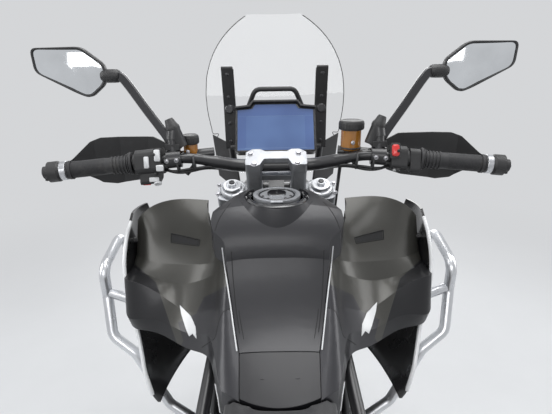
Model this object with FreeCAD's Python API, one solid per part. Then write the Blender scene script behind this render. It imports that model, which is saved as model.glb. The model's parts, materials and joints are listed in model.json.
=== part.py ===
import FreeCAD, Part

import math
import os

# Adventure motorcycle on its centre stand, in millimetres.
# +Y is forwards, +X is the rider's right, +Z is up. The origin is on the floor,
# under the middle of the overall length and width.

V = FreeCAD.Vector
X, Y, Z = V(1, 0, 0), V(0, 1, 0), V(0, 0, 1)
ORIGIN = V(0, 0, 0)

# Stance and steering geometry
overall_length = 2296.0
wheelbase = 1560.0
rake_deg = 23.7
trail = 112.0
rear_lift = 24.0            # the centre stand holds the rear tyre this far off the floor
seat_gap = 0.3              # pieces of one body that seat on each other lie this far apart
moving_gap = 5.0            # pieces that move past each other lie at least this far apart

# Wheels: radius and width of each tyre, bead radius and width of each rim
front_tyre_r, front_tyre_w = 347.0, 92.0
front_rim_r, front_rim_w = 267.0, 58.0
rear_tyre_r, rear_tyre_w = 333.0, 150.0
rear_rim_r, rear_rim_w = 229.0, 112.0
rim_wall = 5.0
rim_flange = 14.0
spokes_per_side = 16
spoke_r = 2.4

front_axle = V(0, overall_length / 2 - front_tyre_r, front_tyre_r)
rear_axle = V(0, front_axle.y - wheelbase, rear_tyre_r + rear_lift)
tail_end = -overall_length / 2

# Steering axis: a point on it at distance u from the floor, moved x aside and "off" ahead
rake = math.radians(rake_deg)
steer_dir = V(0, -math.sin(rake), math.cos(rake))
steer_fwd = V(0, math.cos(rake), math.sin(rake))
steer_foot = V(0, front_axle.y + trail, 0)


def on_steering(u, x=0.0, off=0.0):
    return steer_foot + steer_dir * u + steer_fwd * off + X * x


axle_from_foot = front_axle - steer_foot
axle_u = axle_from_foot.dot(steer_dir)
fork_offset = axle_from_foot.dot(steer_fwd)

# Fork
fork_half_spacing = 109.0
fork_top_u = 1199.0
outer_tube_r = 29.0
outer_tube_bottom_u = 775.0
inner_tube_r = 24.5
top_yoke_u, top_yoke_t = 1162.0, 28.0
low_yoke_u, low_yoke_t = 950.0, 40.0
stem_r = 15.0
head_tube_r = 31.0
axle_r = 12.0

# Handlebar and what sits on it
bar_r, bar_centre_r = 11.1, 14.3
bar_rise_u = 102.0          # height of the bar's centre above the top yoke
bar_off = 6.0
bar_flat = 85.0             # half the straight length between the bends
bar_shoulder = V(190, 354, 1216)
bar_end = V(467, 322, 1197)
grip_inner, grip_outer = 303.0, 431.0
grip_r = 17.0
bar_weight_r = 21.5

# Brakes
front_disc_r, rear_disc_r, disc_t = 160.0, 141.0, 5.0
front_disc_x = 68.0
disc_gap = 4.0              # from a disc to the caliper round it
caliper_outer = 25.0        # how far a front caliper reaches outside its disc's middle

# Swingarm
pivot = V(0, -206, 455)
pivot_r = 12.0
arm_half_gap = 98.0

# Stands
centre_pivot = V(0, -214, 300)
stand_pin_r = 9.0
side_pivot = V(-184, -72, 292)
side_axis = V(math.cos(math.radians(20)), 0, -math.sin(math.radians(20)))
plate_in, plate_out = 136.0, 164.0      # the frame's pivot plates, each side


def box(low, high):
    a, b = V(*low), V(*high)
    size = b - a
    return Part.makeBox(size.x, size.y, size.z, a)


def cyl(start, end, radius):
    way = end - start
    return Part.makeCylinder(radius, way.Length, start, way)


def ring(start, end, outer, inner):
    return cyl(start, end, outer).cut(cyl(start, end, inner))


def cone(start, end, r1, r2):
    way = end - start
    return Part.makeCone(r1, r2, way.Length, start, way)


def mirrored(shape):
    return shape.mirror(ORIGIN, X)


def both(shape):
    """The piece and its mirror image, as solids that do not touch."""
    return Part.makeCompound([shape, mirrored(shape)])


def fuse(*shapes):
    whole = shapes[0].multiFuse(list(shapes[1:])) if len(shapes) > 1 else shapes[0]
    try:
        return whole.removeSplitter()
    except Part.OCCError:
        return whole


def path_wire(points, bend):
    """Straight runs joined by tangent arcs of radius bend, or less where the runs are short."""
    edges, at = [], points[0]
    for i in range(1, len(points) - 1):
        a, b, c = points[i - 1], points[i], points[i + 1]
        d_in, d_out = (b - a).normalize(), (c - b).normalize()
        turn = d_in.getAngle(d_out)
        if turn < 1e-4:
            continue
        reach = min(bend * math.tan(turn / 2), 0.47 * (b - a).Length, 0.47 * (c - b).Length)
        radius = reach / math.tan(turn / 2)
        start, end = b - d_in * reach, b + d_out * reach
        inward = (d_out - d_in).normalize()
        middle = b + inward * (radius / math.cos(turn / 2) - radius)
        if (start - at).Length > 1e-3:
            edges.append(Part.LineSegment(at, start).toShape())
        edges.append(Part.Arc(start, middle, end).toShape())
        at = end
    edges.append(Part.LineSegment(at, points[-1]).toShape())
    return Part.Wire(edges)


def tube(points, radius, bend=60.0):
    """A round bar swept along points."""
    wire = path_wire(points, bend)
    circle = Part.Wire(Part.makeCircle(radius, points[0], points[1] - points[0]))
    solid = wire.makePipeShell([circle], True, False)
    want = math.pi * radius ** 2 * wire.Length
    if abs(solid.Volume - want) > 0.02 * want:
        raise ValueError("a tube came out with the wrong volume")
    return solid


def rounded(points, radius):
    """A closed wire through points, with each corner rounded."""
    edges, n = [], len(points)
    starts, ends = [], []
    radii = radius if isinstance(radius, (list, tuple)) else [radius] * n
    for i in range(n):
        a, b, c = points[i - 1], points[i], points[(i + 1) % n]
        d_in, d_out = (b - a).normalize(), (c - b).normalize()
        turn = d_in.getAngle(d_out)
        reach = min(radii[i] * math.tan(turn / 2), 0.46 * (b - a).Length, 0.46 * (c - b).Length)
        r = reach / math.tan(turn / 2)
        start, end = b - d_in * reach, b + d_out * reach
        inward = (d_out - d_in).normalize()
        middle = b + inward * (r / math.cos(turn / 2) - r)
        starts.append(start)
        ends.append(end)
        edges.append(Part.Arc(start, middle, end).toShape())
    whole = []
    for i in range(n):
        whole.append(edges[i])
        whole.append(Part.LineSegment(ends[i], starts[(i + 1) % n]).toShape())
    return Part.Wire(whole)


def plate(points, along, radius=0.0):
    """A flat outline pushed out along a vector."""
    if radius:
        wire = rounded(points, radius)
    else:
        wire = Part.makePolygon(points + [points[0]])
    return Part.Face(wire).extrude(along)


def section(y, slope, corners, radius):
    """A closed section at about y, whose plane turns with x by slope, from its x, z corners."""
    return rounded([V(x, y + slope * x, z) for x, z in corners], radius)


def loft(wires, ruled=False):
    return Part.makeLoft(wires, True, ruled)


def symmetric(corners):
    """The x, z corners of one half, top to bottom, closed by their mirror images."""
    return corners + [(-x, z) for x, z in reversed(corners)]


def revolve_about_axle(points_wire, axle):
    return Part.Face(points_wire).revolve(axle, X, 360)


def arc(a, b, c):
    return Part.Arc(a, b, c).toShape()


def line(a, b):
    return Part.LineSegment(a, b).toShape()


# Wheels

def tyre(axle, r, w, rim_r, rim_w):
    """A round-crowned tyre casing, hollow inside, from bead to bead."""
    def p(x, rad):
        return axle + V(x, 0, rad)
    crown_x, crown_drop = 0.42 * w, 0.15 * w
    bead_x, wall = rim_w / 2 - rim_wall - seat_gap, 11.0
    bead_top = rim_r + rim_flange + 2
    side_r = rim_r + 0.52 * (r - rim_r)
    foot_r = rim_r + seat_gap
    edges = [
        line(p(-bead_x, foot_r), p(-bead_x, bead_top)),
        arc(p(-bead_x, bead_top), p(-w / 2, side_r), p(-crown_x, r - crown_drop)),
        arc(p(-crown_x, r - crown_drop), p(0, r), p(crown_x, r - crown_drop)),
        arc(p(crown_x, r - crown_drop), p(w / 2, side_r), p(bead_x, bead_top)),
        line(p(bead_x, bead_top), p(bead_x, foot_r)),
        line(p(bead_x, foot_r), p(bead_x - wall, foot_r)),
        line(p(bead_x - wall, foot_r), p(bead_x - wall, bead_top)),
        arc(p(bead_x - wall, bead_top), p(w / 2 - wall, side_r), p(crown_x - wall, r - crown_drop - wall)),
        arc(p(crown_x - wall, r - crown_drop - wall), p(0, r - 1.4 * wall),
            p(wall - crown_x, r - crown_drop - wall)),
        arc(p(wall - crown_x, r - crown_drop - wall), p(wall - w / 2, side_r), p(wall - bead_x, bead_top)),
        line(p(wall - bead_x, bead_top), p(wall - bead_x, foot_r)),
        line(p(wall - bead_x, foot_r), p(-bead_x, foot_r)),
    ]
    return revolve_about_axle(Part.Wire(edges), axle)


def rim(axle, rim_r, rim_w, flange=rim_flange, drop=16.0):
    """A drop-centre rim with a flange each side."""
    h, t = rim_w / 2, rim_wall
    inner = [(-h, rim_r + flange), (-h, rim_r - t), (-h * 0.62, rim_r - t), (-h * 0.42, rim_r - drop - t),
             (h * 0.42, rim_r - drop - t), (h * 0.62, rim_r - t), (h, rim_r - t), (h, rim_r + flange)]
    outer = [(h - t, rim_r + flange), (h - t, rim_r), (h * 0.55, rim_r), (h * 0.36, rim_r - drop),
             (-h * 0.36, rim_r - drop), (-h * 0.55, rim_r), (t - h, rim_r), (t - h, rim_r + flange)]
    pts = [axle + V(x, 0, r) for x, r in inner + outer]
    return revolve_about_axle(Part.makePolygon(pts + [pts[0]]), axle)


def spoked_hub(axle, barrel_r, flange_r, half_w, rim_inner_r, bore_r):
    """A hub with two flanges and crossed spokes that end at the rim."""
    flange_t = 6.0
    hub = fuse(
        cyl(axle - X * half_w, axle + X * half_w, barrel_r),
        *[cyl(axle + X * (s * half_w - flange_t / 2), axle + X * (s * half_w + flange_t / 2), flange_r)
          for s in (-1, 1)],
    )
    spokes = []
    step = 360.0 / spokes_per_side
    lean = 1.6 * step
    for s in (-1, 1):
        for i in range(spokes_per_side):
            here = i * step + (step / 2 if s > 0 else 0)
            there = here + (lean if i % 2 else -lean)
            a, b = math.radians(here), math.radians(there)
            reach = rim_inner_r + 3
            start = axle + V(s * half_w, math.sin(a) * (flange_r - 5), math.cos(a) * (flange_r - 5))
            end = axle + V(s * 6.0, math.sin(b) * reach, math.cos(b) * reach)
            spokes.append(cyl(start, end, spoke_r))
    whole = fuse(hub, *spokes).cut(cyl(axle - X * 200, axle + X * 200, bore_r))
    return whole.cut(ring(axle - X * 60, axle + X * 60, rim_inner_r + 20, rim_inner_r - seat_gap))


def disc(axle, x, r_out, hub_r):
    """A brake disc: friction ring, and a carrier with windows."""
    ring_in = 0.80 * r_out
    a, b = axle + X * (x - disc_t / 2), axle + X * (x + disc_t / 2)
    whole = ring(a, b, r_out, hub_r)
    windows = []
    mid = (ring_in + hub_r) / 2
    for i in range(8):
        t = math.radians(45 * i)
        c = axle + V(x, math.sin(t) * mid, math.cos(t) * mid)
        windows.append(cyl(c - X * 10, c + X * 10, (ring_in - hub_r) * 0.22))
    for i in range(16):
        for k, rad in enumerate((0.86, 0.93)):
            t = math.radians(22.5 * i + 11.25 * k)
            c = axle + V(x, math.sin(t) * r_out * rad, math.cos(t) * r_out * rad)
            windows.append(cyl(c - X * 10, c + X * 10, 3.6))
    return whole.cut(Part.makeCompound(windows))


parts = {}

front_bore = axle_r + 0.3
front_hub_half = 34.0
front_rim_inner = front_rim_r - 16.0 - rim_wall
parts["front_tyre"] = tyre(front_axle, front_tyre_r, front_tyre_w, front_rim_r, front_rim_w)
parts["front_rim"] = rim(front_axle, front_rim_r, front_rim_w)
front_hub = spoked_hub(front_axle, 26.0, 52.0, front_hub_half, front_rim_inner, front_bore)
disc_carrier = [ring(front_axle + X * s * front_hub_half,
                     front_axle + X * s * (front_disc_x - disc_t / 2 - seat_gap),
                     44.0, front_bore) for s in (-1, 1)]
parts["front_hub"] = fuse(front_hub, *disc_carrier)
parts["front_discs"] = both(disc(front_axle, front_disc_x, front_disc_r, 26.0))

rear_hub_half = 52.0
rear_disc_x = 80.0
rear_rim_inner = rear_rim_r - 16.0 - rim_wall
parts["rear_tyre"] = tyre(rear_axle, rear_tyre_r, rear_tyre_w, rear_rim_r, rear_rim_w)
parts["rear_rim"] = rim(rear_axle, rear_rim_r, rear_rim_w)
rear_hub = spoked_hub(rear_axle, 38.0, 66.0, rear_hub_half, rear_rim_inner, front_bore)
rear_carrier = ring(rear_axle + X * rear_hub_half, rear_axle + X * (rear_disc_x - disc_t / 2 - seat_gap),
                    46.0, front_bore)
rear_drive_face = ring(rear_axle - X * rear_hub_half, rear_axle - X * (arm_half_gap - moving_gap - 8), 60.0,
                       front_bore)
parts["rear_hub"] = fuse(rear_hub, rear_carrier, rear_drive_face)
parts["rear_disc"] = disc(rear_axle, rear_disc_x, rear_disc_r, 30.0)


# Fork, yokes and axle

def steering_plate(corners, u, thickness, radius):
    """A plate square to the steering axis, from its x, off corners."""
    return plate([on_steering(u, x, off) for x, off in corners], steer_dir * thickness, radius)


def fork_yokes():
    h, o = fork_half_spacing, fork_offset
    outline = [(-h - 36, o - 30), (-h - 36, o + 34), (-h + 20, o + 40), (-60, o + 4), (60, o + 4),
               (h - 20, o + 40),
               (h + 36, o + 34), (h + 36, o - 30), (h - 10, o - 42), (34, -34), (-34, -34),
               (-h + 10, o - 42)]
    top = steering_plate(outline, top_yoke_u, top_yoke_t, 16)
    low = steering_plate(outline, low_yoke_u, low_yoke_t, 16)
    stem = cyl(on_steering(low_yoke_u), on_steering(top_yoke_u + top_yoke_t), stem_r)
    nut = cyl(on_steering(top_yoke_u + top_yoke_t), on_steering(top_yoke_u + top_yoke_t + 9), 18)
    whole = fuse(top, low, stem, nut)
    holes = [cyl(on_steering(900, s * h, o), on_steering(1250, s * h, o), outer_tube_r + seat_gap)
             for s in (-1, 1)]
    return whole.cut(Part.makeCompound(holes))


def fork_legs():
    h, o = fork_half_spacing, fork_offset
    outer = fuse(
        ring(on_steering(outer_tube_bottom_u, h, o), on_steering(fork_top_u, h, o), outer_tube_r,
             inner_tube_r + seat_gap),
        cyl(on_steering(fork_top_u - 30, h, o), on_steering(fork_top_u, h, o), outer_tube_r),
        ring(on_steering(outer_tube_bottom_u - 14, h, o), on_steering(outer_tube_bottom_u + 12, h, o),
             outer_tube_r + 2.5, inner_tube_r + seat_gap),
        cyl(on_steering(fork_top_u, h, o), on_steering(fork_top_u + 9, h, o), 22),
        cyl(on_steering(fork_top_u + 9, h, o), on_steering(fork_top_u + 16, h, o), 9),
    )
    return both(outer)


def fork_sliders():
    """Inner tubes with the feet that clamp the axle and carry the calipers."""
    h, o = fork_half_spacing, fork_offset
    lug_x = front_disc_x + caliper_outer + seat_gap
    sliders = []
    for s in (-1, 1):
        inner = cyl(on_steering(axle_u + 160, s * h, o), on_steering(1000, s * h, o), inner_tube_r)
        foot = cyl(on_steering(axle_u - 34, s * h, o), on_steering(axle_u + 95, s * h, o), 27)
        clamp = cyl(front_axle + X * s * (h - 22), front_axle + X * s * (h + 26), 27)
        lug = steering_plate([(s * lug_x, o - 74), (s * (h + 14), o - 74), (s * (h + 14), o),
                              (s * lug_x, o)],
                             axle_u + 42, 22, 4)
        lug2 = steering_plate([(s * lug_x, o - 74), (s * (h + 14), o - 74), (s * (h + 14), o),
                               (s * lug_x, o)],
                              axle_u + 130, 20, 4)
        sleeve = cyl(on_steering(axle_u + 90, s * h, o), on_steering(axle_u + 170, s * h, o), 28)
        sliders.append(fuse(foot, clamp, sleeve, lug, lug2, inner))
    axle = cyl(front_axle - X * (h + 30), front_axle + X * (h + 30), axle_r)
    spacers = [cyl(front_axle + X * s * (front_disc_x + disc_t / 2 + 1), front_axle + X * s * (h - 20), 17)
               for s in (-1, 1)]
    return fuse(axle, *sliders, *spacers).cut(cyl(front_axle - X * 200, front_axle + X * 200, 6))


parts["fork_yokes"] = fork_yokes()
parts["fork_tubes"] = fork_legs()
parts["fork_sliders"] = fork_sliders()


def caliper(axle, x, r, angle_deg, width_in, width_out, length, depth):
    """A caliper that straddles a disc at an angle round the axle, measured from up towards the rear."""
    slot = disc_t / 2 + disc_gap
    a, b = r - depth, r + 20
    pts = [(-length / 2, a + 12), (-length / 2 + 18, a), (length / 2 - 18, a), (length / 2, a + 12),
           (length / 2 - 6, b - 8), (length / 2 - 24, b), (-length / 2 + 24, b), (-length / 2 + 6, b - 8)]
    body = plate([axle + V(x - width_in, along, rad) for along, rad in pts], X * (width_in + width_out), 7)
    disc_space = ring(axle + X * (x - slot), axle + X * (x + slot), r + disc_gap, 20)
    body = body.cut(disc_space)
    body.rotate(axle, X, angle_deg)
    return body


parts["front_calipers"] = both(caliper(front_axle, front_disc_x, front_disc_r, 70, 30, caliper_outer, 118,
                                       46))


def front_mudguard():
    """A close guard over the tyre with its stays to the fork feet."""
    r_in, half, t = front_tyre_r + 13, 60.0, 3.0
    def p(x, rad):
        return front_axle + V(x, 0, rad)
    crown = 20.0
    prof = Part.Wire([
        line(p(-half, r_in - 34), p(-half + t, r_in - 34)),
        arc(p(-half + t, r_in - 34), p(-half + 8, r_in - 12), p(-half + 24, r_in - 2)),
        arc(p(-half + 24, r_in - 2), p(0, r_in + crown - 14), p(half - 24, r_in - 2)),
        arc(p(half - 24, r_in - 2), p(half - 8, r_in - 12), p(half - t, r_in - 34)),
        line(p(half - t, r_in - 34), p(half, r_in - 34)),
        arc(p(half, r_in - 34), p(half - 5, r_in - 9), p(half - 23, r_in + t)),
        arc(p(half - 23, r_in + t), p(0, r_in + crown - 14 + t), p(-half + 23, r_in + t)),
        arc(p(-half + 23, r_in + t), p(-half + 5, r_in - 9), p(-half, r_in - 34)),
    ])
    shell = Part.Face(prof).revolve(front_axle, X, 118)
    shell.rotate(front_axle, X, -34)
    stays = []
    for s in (-1, 1):
        stay = plate([on_steering(axle_u + 205, s * half, fork_offset - 22),
                      on_steering(axle_u + 205, s * half, fork_offset + 24),
                      on_steering(axle_u + 345, s * half, fork_offset + 34),
                      on_steering(axle_u + 345, s * half, fork_offset - 36)],
                     X * s * 34, 6)
        stays.append(stay)
    legs = [cyl(on_steering(850 - 500, s * fork_half_spacing, fork_offset),
                on_steering(1000, s * fork_half_spacing, fork_offset),
                inner_tube_r + seat_gap) for s in (-1, 1)]
    return fuse(shell, *stays).cut(Part.makeCompound(legs))


parts["front_mudguard"] = front_mudguard()


# Handlebar, clamp and controls

bar_u = top_yoke_u + top_yoke_t + bar_rise_u
bar_mid = on_steering(bar_u, 0, bar_off)
bar_bend = V(bar_flat, bar_mid.y, bar_mid.z)
bar_points = [V(-bar_end.x, bar_end.y, bar_end.z), V(-bar_shoulder.x, bar_shoulder.y, bar_shoulder.z),
              V(-bar_bend.x, bar_bend.y, bar_bend.z), bar_bend, bar_shoulder, bar_end]
bar_out = (bar_end - bar_shoulder).normalize()


def on_grip(x, along=0.0, up=0.0):
    """A point beside the outer straight of the bar, at x across, moved forwards and up."""
    t = (x - bar_shoulder.x) / bar_out.x
    return bar_shoulder + bar_out * t + Y * along + Z * up


def handlebar():
    thin = tube(bar_points, bar_r, 90)
    q1 = bar_bend + (bar_shoulder - bar_bend) * 0.45
    q2 = bar_bend + (bar_shoulder - bar_bend) * 0.72
    thick = tube([V(-q1.x, q1.y, q1.z), V(-bar_bend.x, bar_bend.y, bar_bend.z), bar_bend, q1], bar_centre_r,
                 90)
    taper = cone(q1, q2, bar_centre_r, bar_r)
    return fuse(thin, thick, taper, mirrored(taper))


def bar_clamp():
    """Two posts on the top yoke, joined below the bar, and one bridged cap above it."""
    foot_u = top_yoke_u + top_yoke_t + seat_gap
    post_in, post_out = 33.0, 68.0
    posts = []
    for s in (-1, 1):
        posts.append(steering_plate([(s * post_in, -20), (s * post_out, -20), (s * post_out, 30),
                                     (s * post_in, 30)],
                                    foot_u, bar_u - foot_u, 7))
    beam = steering_plate([(-post_in - 4, -6), (post_in + 4, -6), (post_in + 4, 20), (-post_in - 4, 20)],
                          bar_u - 34, 14, 0)
    lower = fuse(*posts, beam)
    cap_u, cap_t = bar_u + 0.5, 24.0
    cap = steering_plate([(-post_out, -24), (-post_in - 3, -24), (-post_in + 6, -2), (post_in - 6, -2),
                          (post_in + 3, -24),
                          (post_out, -24), (post_out, 22), (post_out - 14, 34), (post_in + 2, 34),
                          (post_in - 8, 26),
                          (-post_in + 8, 26), (-post_in - 2, 34), (-post_out + 14, 34), (-post_out, 22)],
                         cap_u, cap_t, 5)
    bore = cyl(V(-200, bar_mid.y, bar_mid.z), V(200, bar_mid.y, bar_mid.z), bar_centre_r + seat_gap)
    nut_room = cyl(on_steering(1150), on_steering(top_yoke_u + top_yoke_t + 12), 21)
    return Part.makeCompound([lower.cut(bore).cut(nut_room), cap.cut(bore)])


parts["handlebar"] = handlebar()
parts["bar_clamp"] = bar_clamp()


def grips():
    a, b = on_grip(grip_inner), on_grip(grip_outer)
    way = (b - a).normalize()
    body = cyl(a, b, grip_r)
    flange = cyl(a, a + way * 5, 23)
    ribs = [cyl(a + way * (10 + 7 * i), a + way * (13.5 + 7 * i), grip_r + 1.6) for i in range(5)]
    end_rib = cyl(b - way * 6, b, grip_r + 2.5)
    bore = cyl(a - way * 5, b + way * 5, bar_r + seat_gap)
    return both(fuse(body, flange, end_rib, *ribs).cut(bore))


def bar_weights():
    a = on_grip(grip_outer)
    way = (bar_end - a).normalize()
    a = a + way * 1.0
    body = fuse(cyl(a, a + way * 16, 18.5), cone(a + way * 16, a + way * 20, 18.5, bar_weight_r),
                cyl(a + way * 20, bar_end + way * 4, bar_weight_r))
    return both(body.cut(cyl(a - way, bar_end + way * seat_gap, bar_r + seat_gap)))


def switch_pod(x0, x1, back, front, low, high, radius=12):
    """A housing round the bar between x0 and x1."""
    pts = [on_grip(x0, back, low), on_grip(x0, front, low + 8), on_grip(x0, front, high - 8),
           on_grip(x0, back + 8, high)]
    return plate(pts, on_grip(x1) - on_grip(x0), radius)


def switch_pods():
    bore_r = bar_r + seat_gap
    right = fuse(switch_pod(240, 272, -27, 24, -26, 28), switch_pod(279, 300, -24, 22, -30, 24, 10),
                 cyl(on_grip(242), on_grip(300), 18))
    left = fuse(switch_pod(240, 292, -29, 24, -24, 30), switch_pod(246, 286, -24, 14, -48, -12, 8),
                cyl(on_grip(242), on_grip(300), 18))
    right = right.cut(cyl(on_grip(200), on_grip(320), bore_r))
    left = left.cut(cyl(on_grip(200), on_grip(320), bore_r))
    return Part.makeCompound([right, mirrored(left)])


perch_in, perch_out = 200.0, 236.0
perch_neck, perch_top = on_grip(218, 8, 40), on_grip(216, 12, 60)


def hand_levers():
    """Clamp, master cylinder and blade lever of each side."""
    clamp = fuse(cyl(on_grip(perch_in + 2), on_grip(perch_out - 4), 19),
                 switch_pod(perch_in + 4, perch_out - 6, -8, 34, -14, 16, 4))
    master = cyl(on_grip(perch_in - 62, 40, -4), on_grip(perch_out + 2, 40, -4), 13)
    pivot_lug = plate([on_grip(perch_out - 14, 22, -12), on_grip(perch_out + 22, 34, -12),
                       on_grip(perch_out + 22, 62, -12),
                       on_grip(perch_out - 14, 56, -12)], Z * 20, 5)
    blade = tube([on_grip(perch_out + 10, 50, -2), on_grip(perch_out + 40, 66, -2),
                  on_grip(perch_out + 110, 70, -3),
                  on_grip(perch_out + 172, 60, -4)], 6.0, 60)
    tip = Part.makeSphere(8.5, on_grip(perch_out + 172, 60, -4))
    boss = fuse(cyl(on_grip(218, 2, 10), on_grip(218, 8, 42), 12), cyl(perch_neck, perch_top, 14.5))
    body = fuse(clamp, master, pivot_lug, blade, tip, boss)
    body = body.cut(cyl(on_grip(150), on_grip(320), bar_r + seat_gap))
    return both(body)


def reservoirs():
    """Round fluid pots on the master cylinders; the clutch side's sits lower and further out."""
    pots = []
    for c in (V(165, 391, 1255), V(-190, 391, 1241)):
        pot = fuse(cyl(c - Z * 30, c + Z * 12, 21.5), cone(c - Z * 36, c - Z * 30, 15, 21.5),
                   cyl(c + Z * 12, c + Z * 29, 26))
        pots.append(pot)
    masters = both(cyl(on_grip(perch_in - 80, 40, -4), on_grip(perch_out, 40, -4), 13 + seat_gap))
    perches = parts["hand_levers"].copy()
    perches.translate(Z * seat_gap)
    pots = [pot.cut(masters).cut(perches).cut(parts["hand_levers"]) for pot in pots]
    return Part.makeCompound([max(pot.Solids, key=lambda solid: solid.Volume) for pot in pots])


parts["grips"] = grips()
parts["bar_weights"] = bar_weights()
parts["switch_pods"] = switch_pods()
parts["hand_levers"] = hand_levers()
parts["reservoirs"] = reservoirs()


def wall_plan(plan, thickness):
    """A closed outline that follows the x, y points of plan, thickness wide."""
    pts = [V(x, y, 0) for x, y in plan]
    outside = []
    for i, p in enumerate(pts):
        way = (pts[min(i + 1, len(pts) - 1)] - pts[max(i - 1, 0)]).normalize()
        outside.append(p + V(-way.y, way.x, 0) * thickness)
    return pts + outside[::-1]


def hand_guards():
    """Curved shields ahead of the levers, held at the bar ends."""
    plan = [(246, 440), (300, 452), (364, 448), (418, 430), (456, 402), (475, 362), (477, 318)]
    wall = plate([p + Z * 1120 for p in wall_plan(plan, 5.0)], Z * 140)
    face = [(250, 1178), (256, 1232), (285, 1245), (404, 1247), (424, 1240), (462, 1202), (490, 1208),
            (490, 1180),
            (452, 1176), (410, 1142), (380, 1136), (300, 1146), (262, 1160)]
    window = plate([V(x, 250, z) for x, z in face], Y * 300, 9)
    end_nut = cyl(bar_end + bar_out * (4 + seat_gap), bar_end + bar_out * 15, 13)
    return fuse(wall.common(window), end_nut)


parts["hand_guards"] = both(hand_guards())


def mirrors():
    """Stem, ball joint and oval head; the glass is a piece of its own."""
    top, way = perch_top, (perch_top - perch_neck).normalize()
    route = [top + way * 8, V(248, 378, 1290), V(280, 388, 1314), V(322, 402, 1364), V(345, 410, 1382),
             V(372, 416, 1388),
             V(402, 422, 1387)]
    bars = []
    for i, p in enumerate(route):
        along = (route[min(i + 1, len(route) - 1)] - route[max(i - 1, 0)]).normalize()
        wide = along.cross(Y).normalize() * 9.5
        deep = along.cross(wide).normalize() * 4.5
        bars.append(Part.makePolygon([p + wide + deep, p - wide + deep, p - wide - deep, p + wide - deep,
                                      p + wide + deep]))
    levers = [lever for lever in parts["hand_levers"].Solids if lever.CenterOfMass.x > 0][0]
    stem = max(loft(bars).cut(levers).Solids, key=lambda solid: solid.Volume)
    boot = cone(top + way * seat_gap, top + way * 22, 13.5, 10)
    face = [(-79, 34), (-40, 52), (46, 52), (78, 30), (80, -2), (62, -38), (40, -50), (10, -44), (-70, -8)]
    head = plate([V(437 + x, 412, 1390 + z) for x, z in face], Y * 26, 22)
    glass_face = plate([V(437 + x * 0.93, 410, 1390 + z * 0.92 + 0.2) for x, z in face], Y * 4, 20)
    pocket = plate([V(437 + x * 0.94, 400, 1390 + z * 0.93 + 0.2) for x, z in face], Y * (14 + seat_gap),
                   20)
    return both(fuse(stem, boot, head).cut(pocket)), both(glass_face)


parts["mirrors"], parts["mirror_glass"] = mirrors()


# Frame

head_low_u, head_high_u = low_yoke_u + low_yoke_t + moving_gap + 0.5, top_yoke_u - moving_gap - 0.5


def frame(grow=0.0):
    """Head tube, rails, pivot plates and the nose bracket, with every face moved out by grow."""
    g = grow
    head = cyl(on_steering(head_low_u), on_steering(head_high_u), head_tube_r + g)
    rails = []
    mid = (plate_in + plate_out) / 2
    for s in (-1, 1):
        rails.append(tube([V(s * 18, 468, 1012), V(s * 70, 400, 965), V(s * 128, 300, 880),
                           V(s * mid, 80, 770),
                           V(s * mid, -150, 640), V(s * mid, -196, 560), V(s * mid, -196, 330)], 13 + g,
                          90))
        rails.append(tube([V(s * 16, 496, 960), V(s * 80, 416, 862), V(s * 158, 320, 720),
                           V(s * 158, 250, 600),
                           V(s * 158, 10, 560), V(s * mid, -190, 500)], 13 + g, 80))
        rails.append(tube([V(s * 135, 285, 870), V(s * 158, 255, 610)], 11 + g))
        rails.append(tube([V(s * mid, 82, 770), V(s * 156, 40, 570)], 11 + g))
        rails.append(plate([V(s * (plate_in - g), -246 - g, 276 - g),
                            V(s * (plate_in - g), -148 + g, 300 - g),
                            V(s * (plate_in - g), -150 + g, 560), V(s * (plate_in - g), -236 - g, 590 + g)],
                           X * s * (plate_out - plate_in + 2 * g), 14))
    cross = [cyl(V(-mid, -150, 636), V(mid, -150, 636), 13 + g),
             cyl(V(-135, 283, 868), V(135, 283, 868), 11 + g),
             cyl(V(-mid, -222, 350), V(mid, -222, 350), 13 + g),
             cyl(pivot - X * mid, pivot + X * mid, pivot_r + g)]
    side_lug = [box((-plate_out - g, -160, 278 - g), (-plate_in + g, -58, 306 + g)),
                cyl(side_pivot + side_axis * (30 + g), side_pivot + side_axis * (8 - g), 15 + g)]
    nose = plate([on_steering(u, -22 - g, off) for u,
                  off in [(1030 - g, 20), (1112 + g, 20), (1112 + g, 172), (1060 - g, 172)]],
                 X * (44 + 2 * g), 0)
    bar = [cyl(on_steering(1086, -118 - g, 172), on_steering(1086, 118 + g, 172), 11 + g)]
    for s in (-1, 1):
        bar.append(tube([on_steering(1086, s * 110, 172), V(s * 118, 590, 1190)], 9 + g))
        bar.append(tube([on_steering(1086, s * 110, 172), V(s * 100, 700, 845)], 9 + g))
        bar.append(cyl(V(s * 118, 590, 1190), V(s * 40, 560, 1200), 8 + g))
    bar.append(cyl(V(-42, 560, 1200), V(42, 560, 1200), 8 + g))
    whole = fuse(head, nose, *rails, *cross, *side_lug, *bar)
    whole = whole.cut(cyl(on_steering(900), on_steering(1250), stem_r + seat_gap - g))
    pins = [cyl(centre_pivot - X * 200, centre_pivot + X * 200, stand_pin_r + seat_gap),
            cyl(side_pivot + side_axis * 60, side_pivot - side_axis * 60, stand_pin_r + seat_gap)]
    return whole.cut(Part.makeCompound(pins))


parts["frame"] = frame()
near_frame = frame(seat_gap)


def subframe(grow=0.0):
    """Seat rails and their struts, behind the main frame, with every face moved out by grow."""
    g = grow
    tubes = []
    for s in (-1, 1):
        tubes.append(tube([V(s * 150, -150, 656), V(s * 146, -230, 760), V(s * 134, -420, 800),
                           V(s * 114, -700, 838),
                           V(s * 100, -900, 858)], 12 + g, 60))
        tubes.append(tube([V(s * 150, -236, 540), V(s * 146, -330, 660), V(s * 118, -650, 822)], 10 + g,
                          60))
    cross = [cyl(V(-135, -330, 780), V(135, -330, 780), 10 + g),
             cyl(V(-102, -880, 854), V(102, -880, 854), 10 + g),
             cyl(V(-116, -640, 828), V(116, -640, 828), 10 + g)]
    return fuse(*tubes, *cross)


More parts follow.
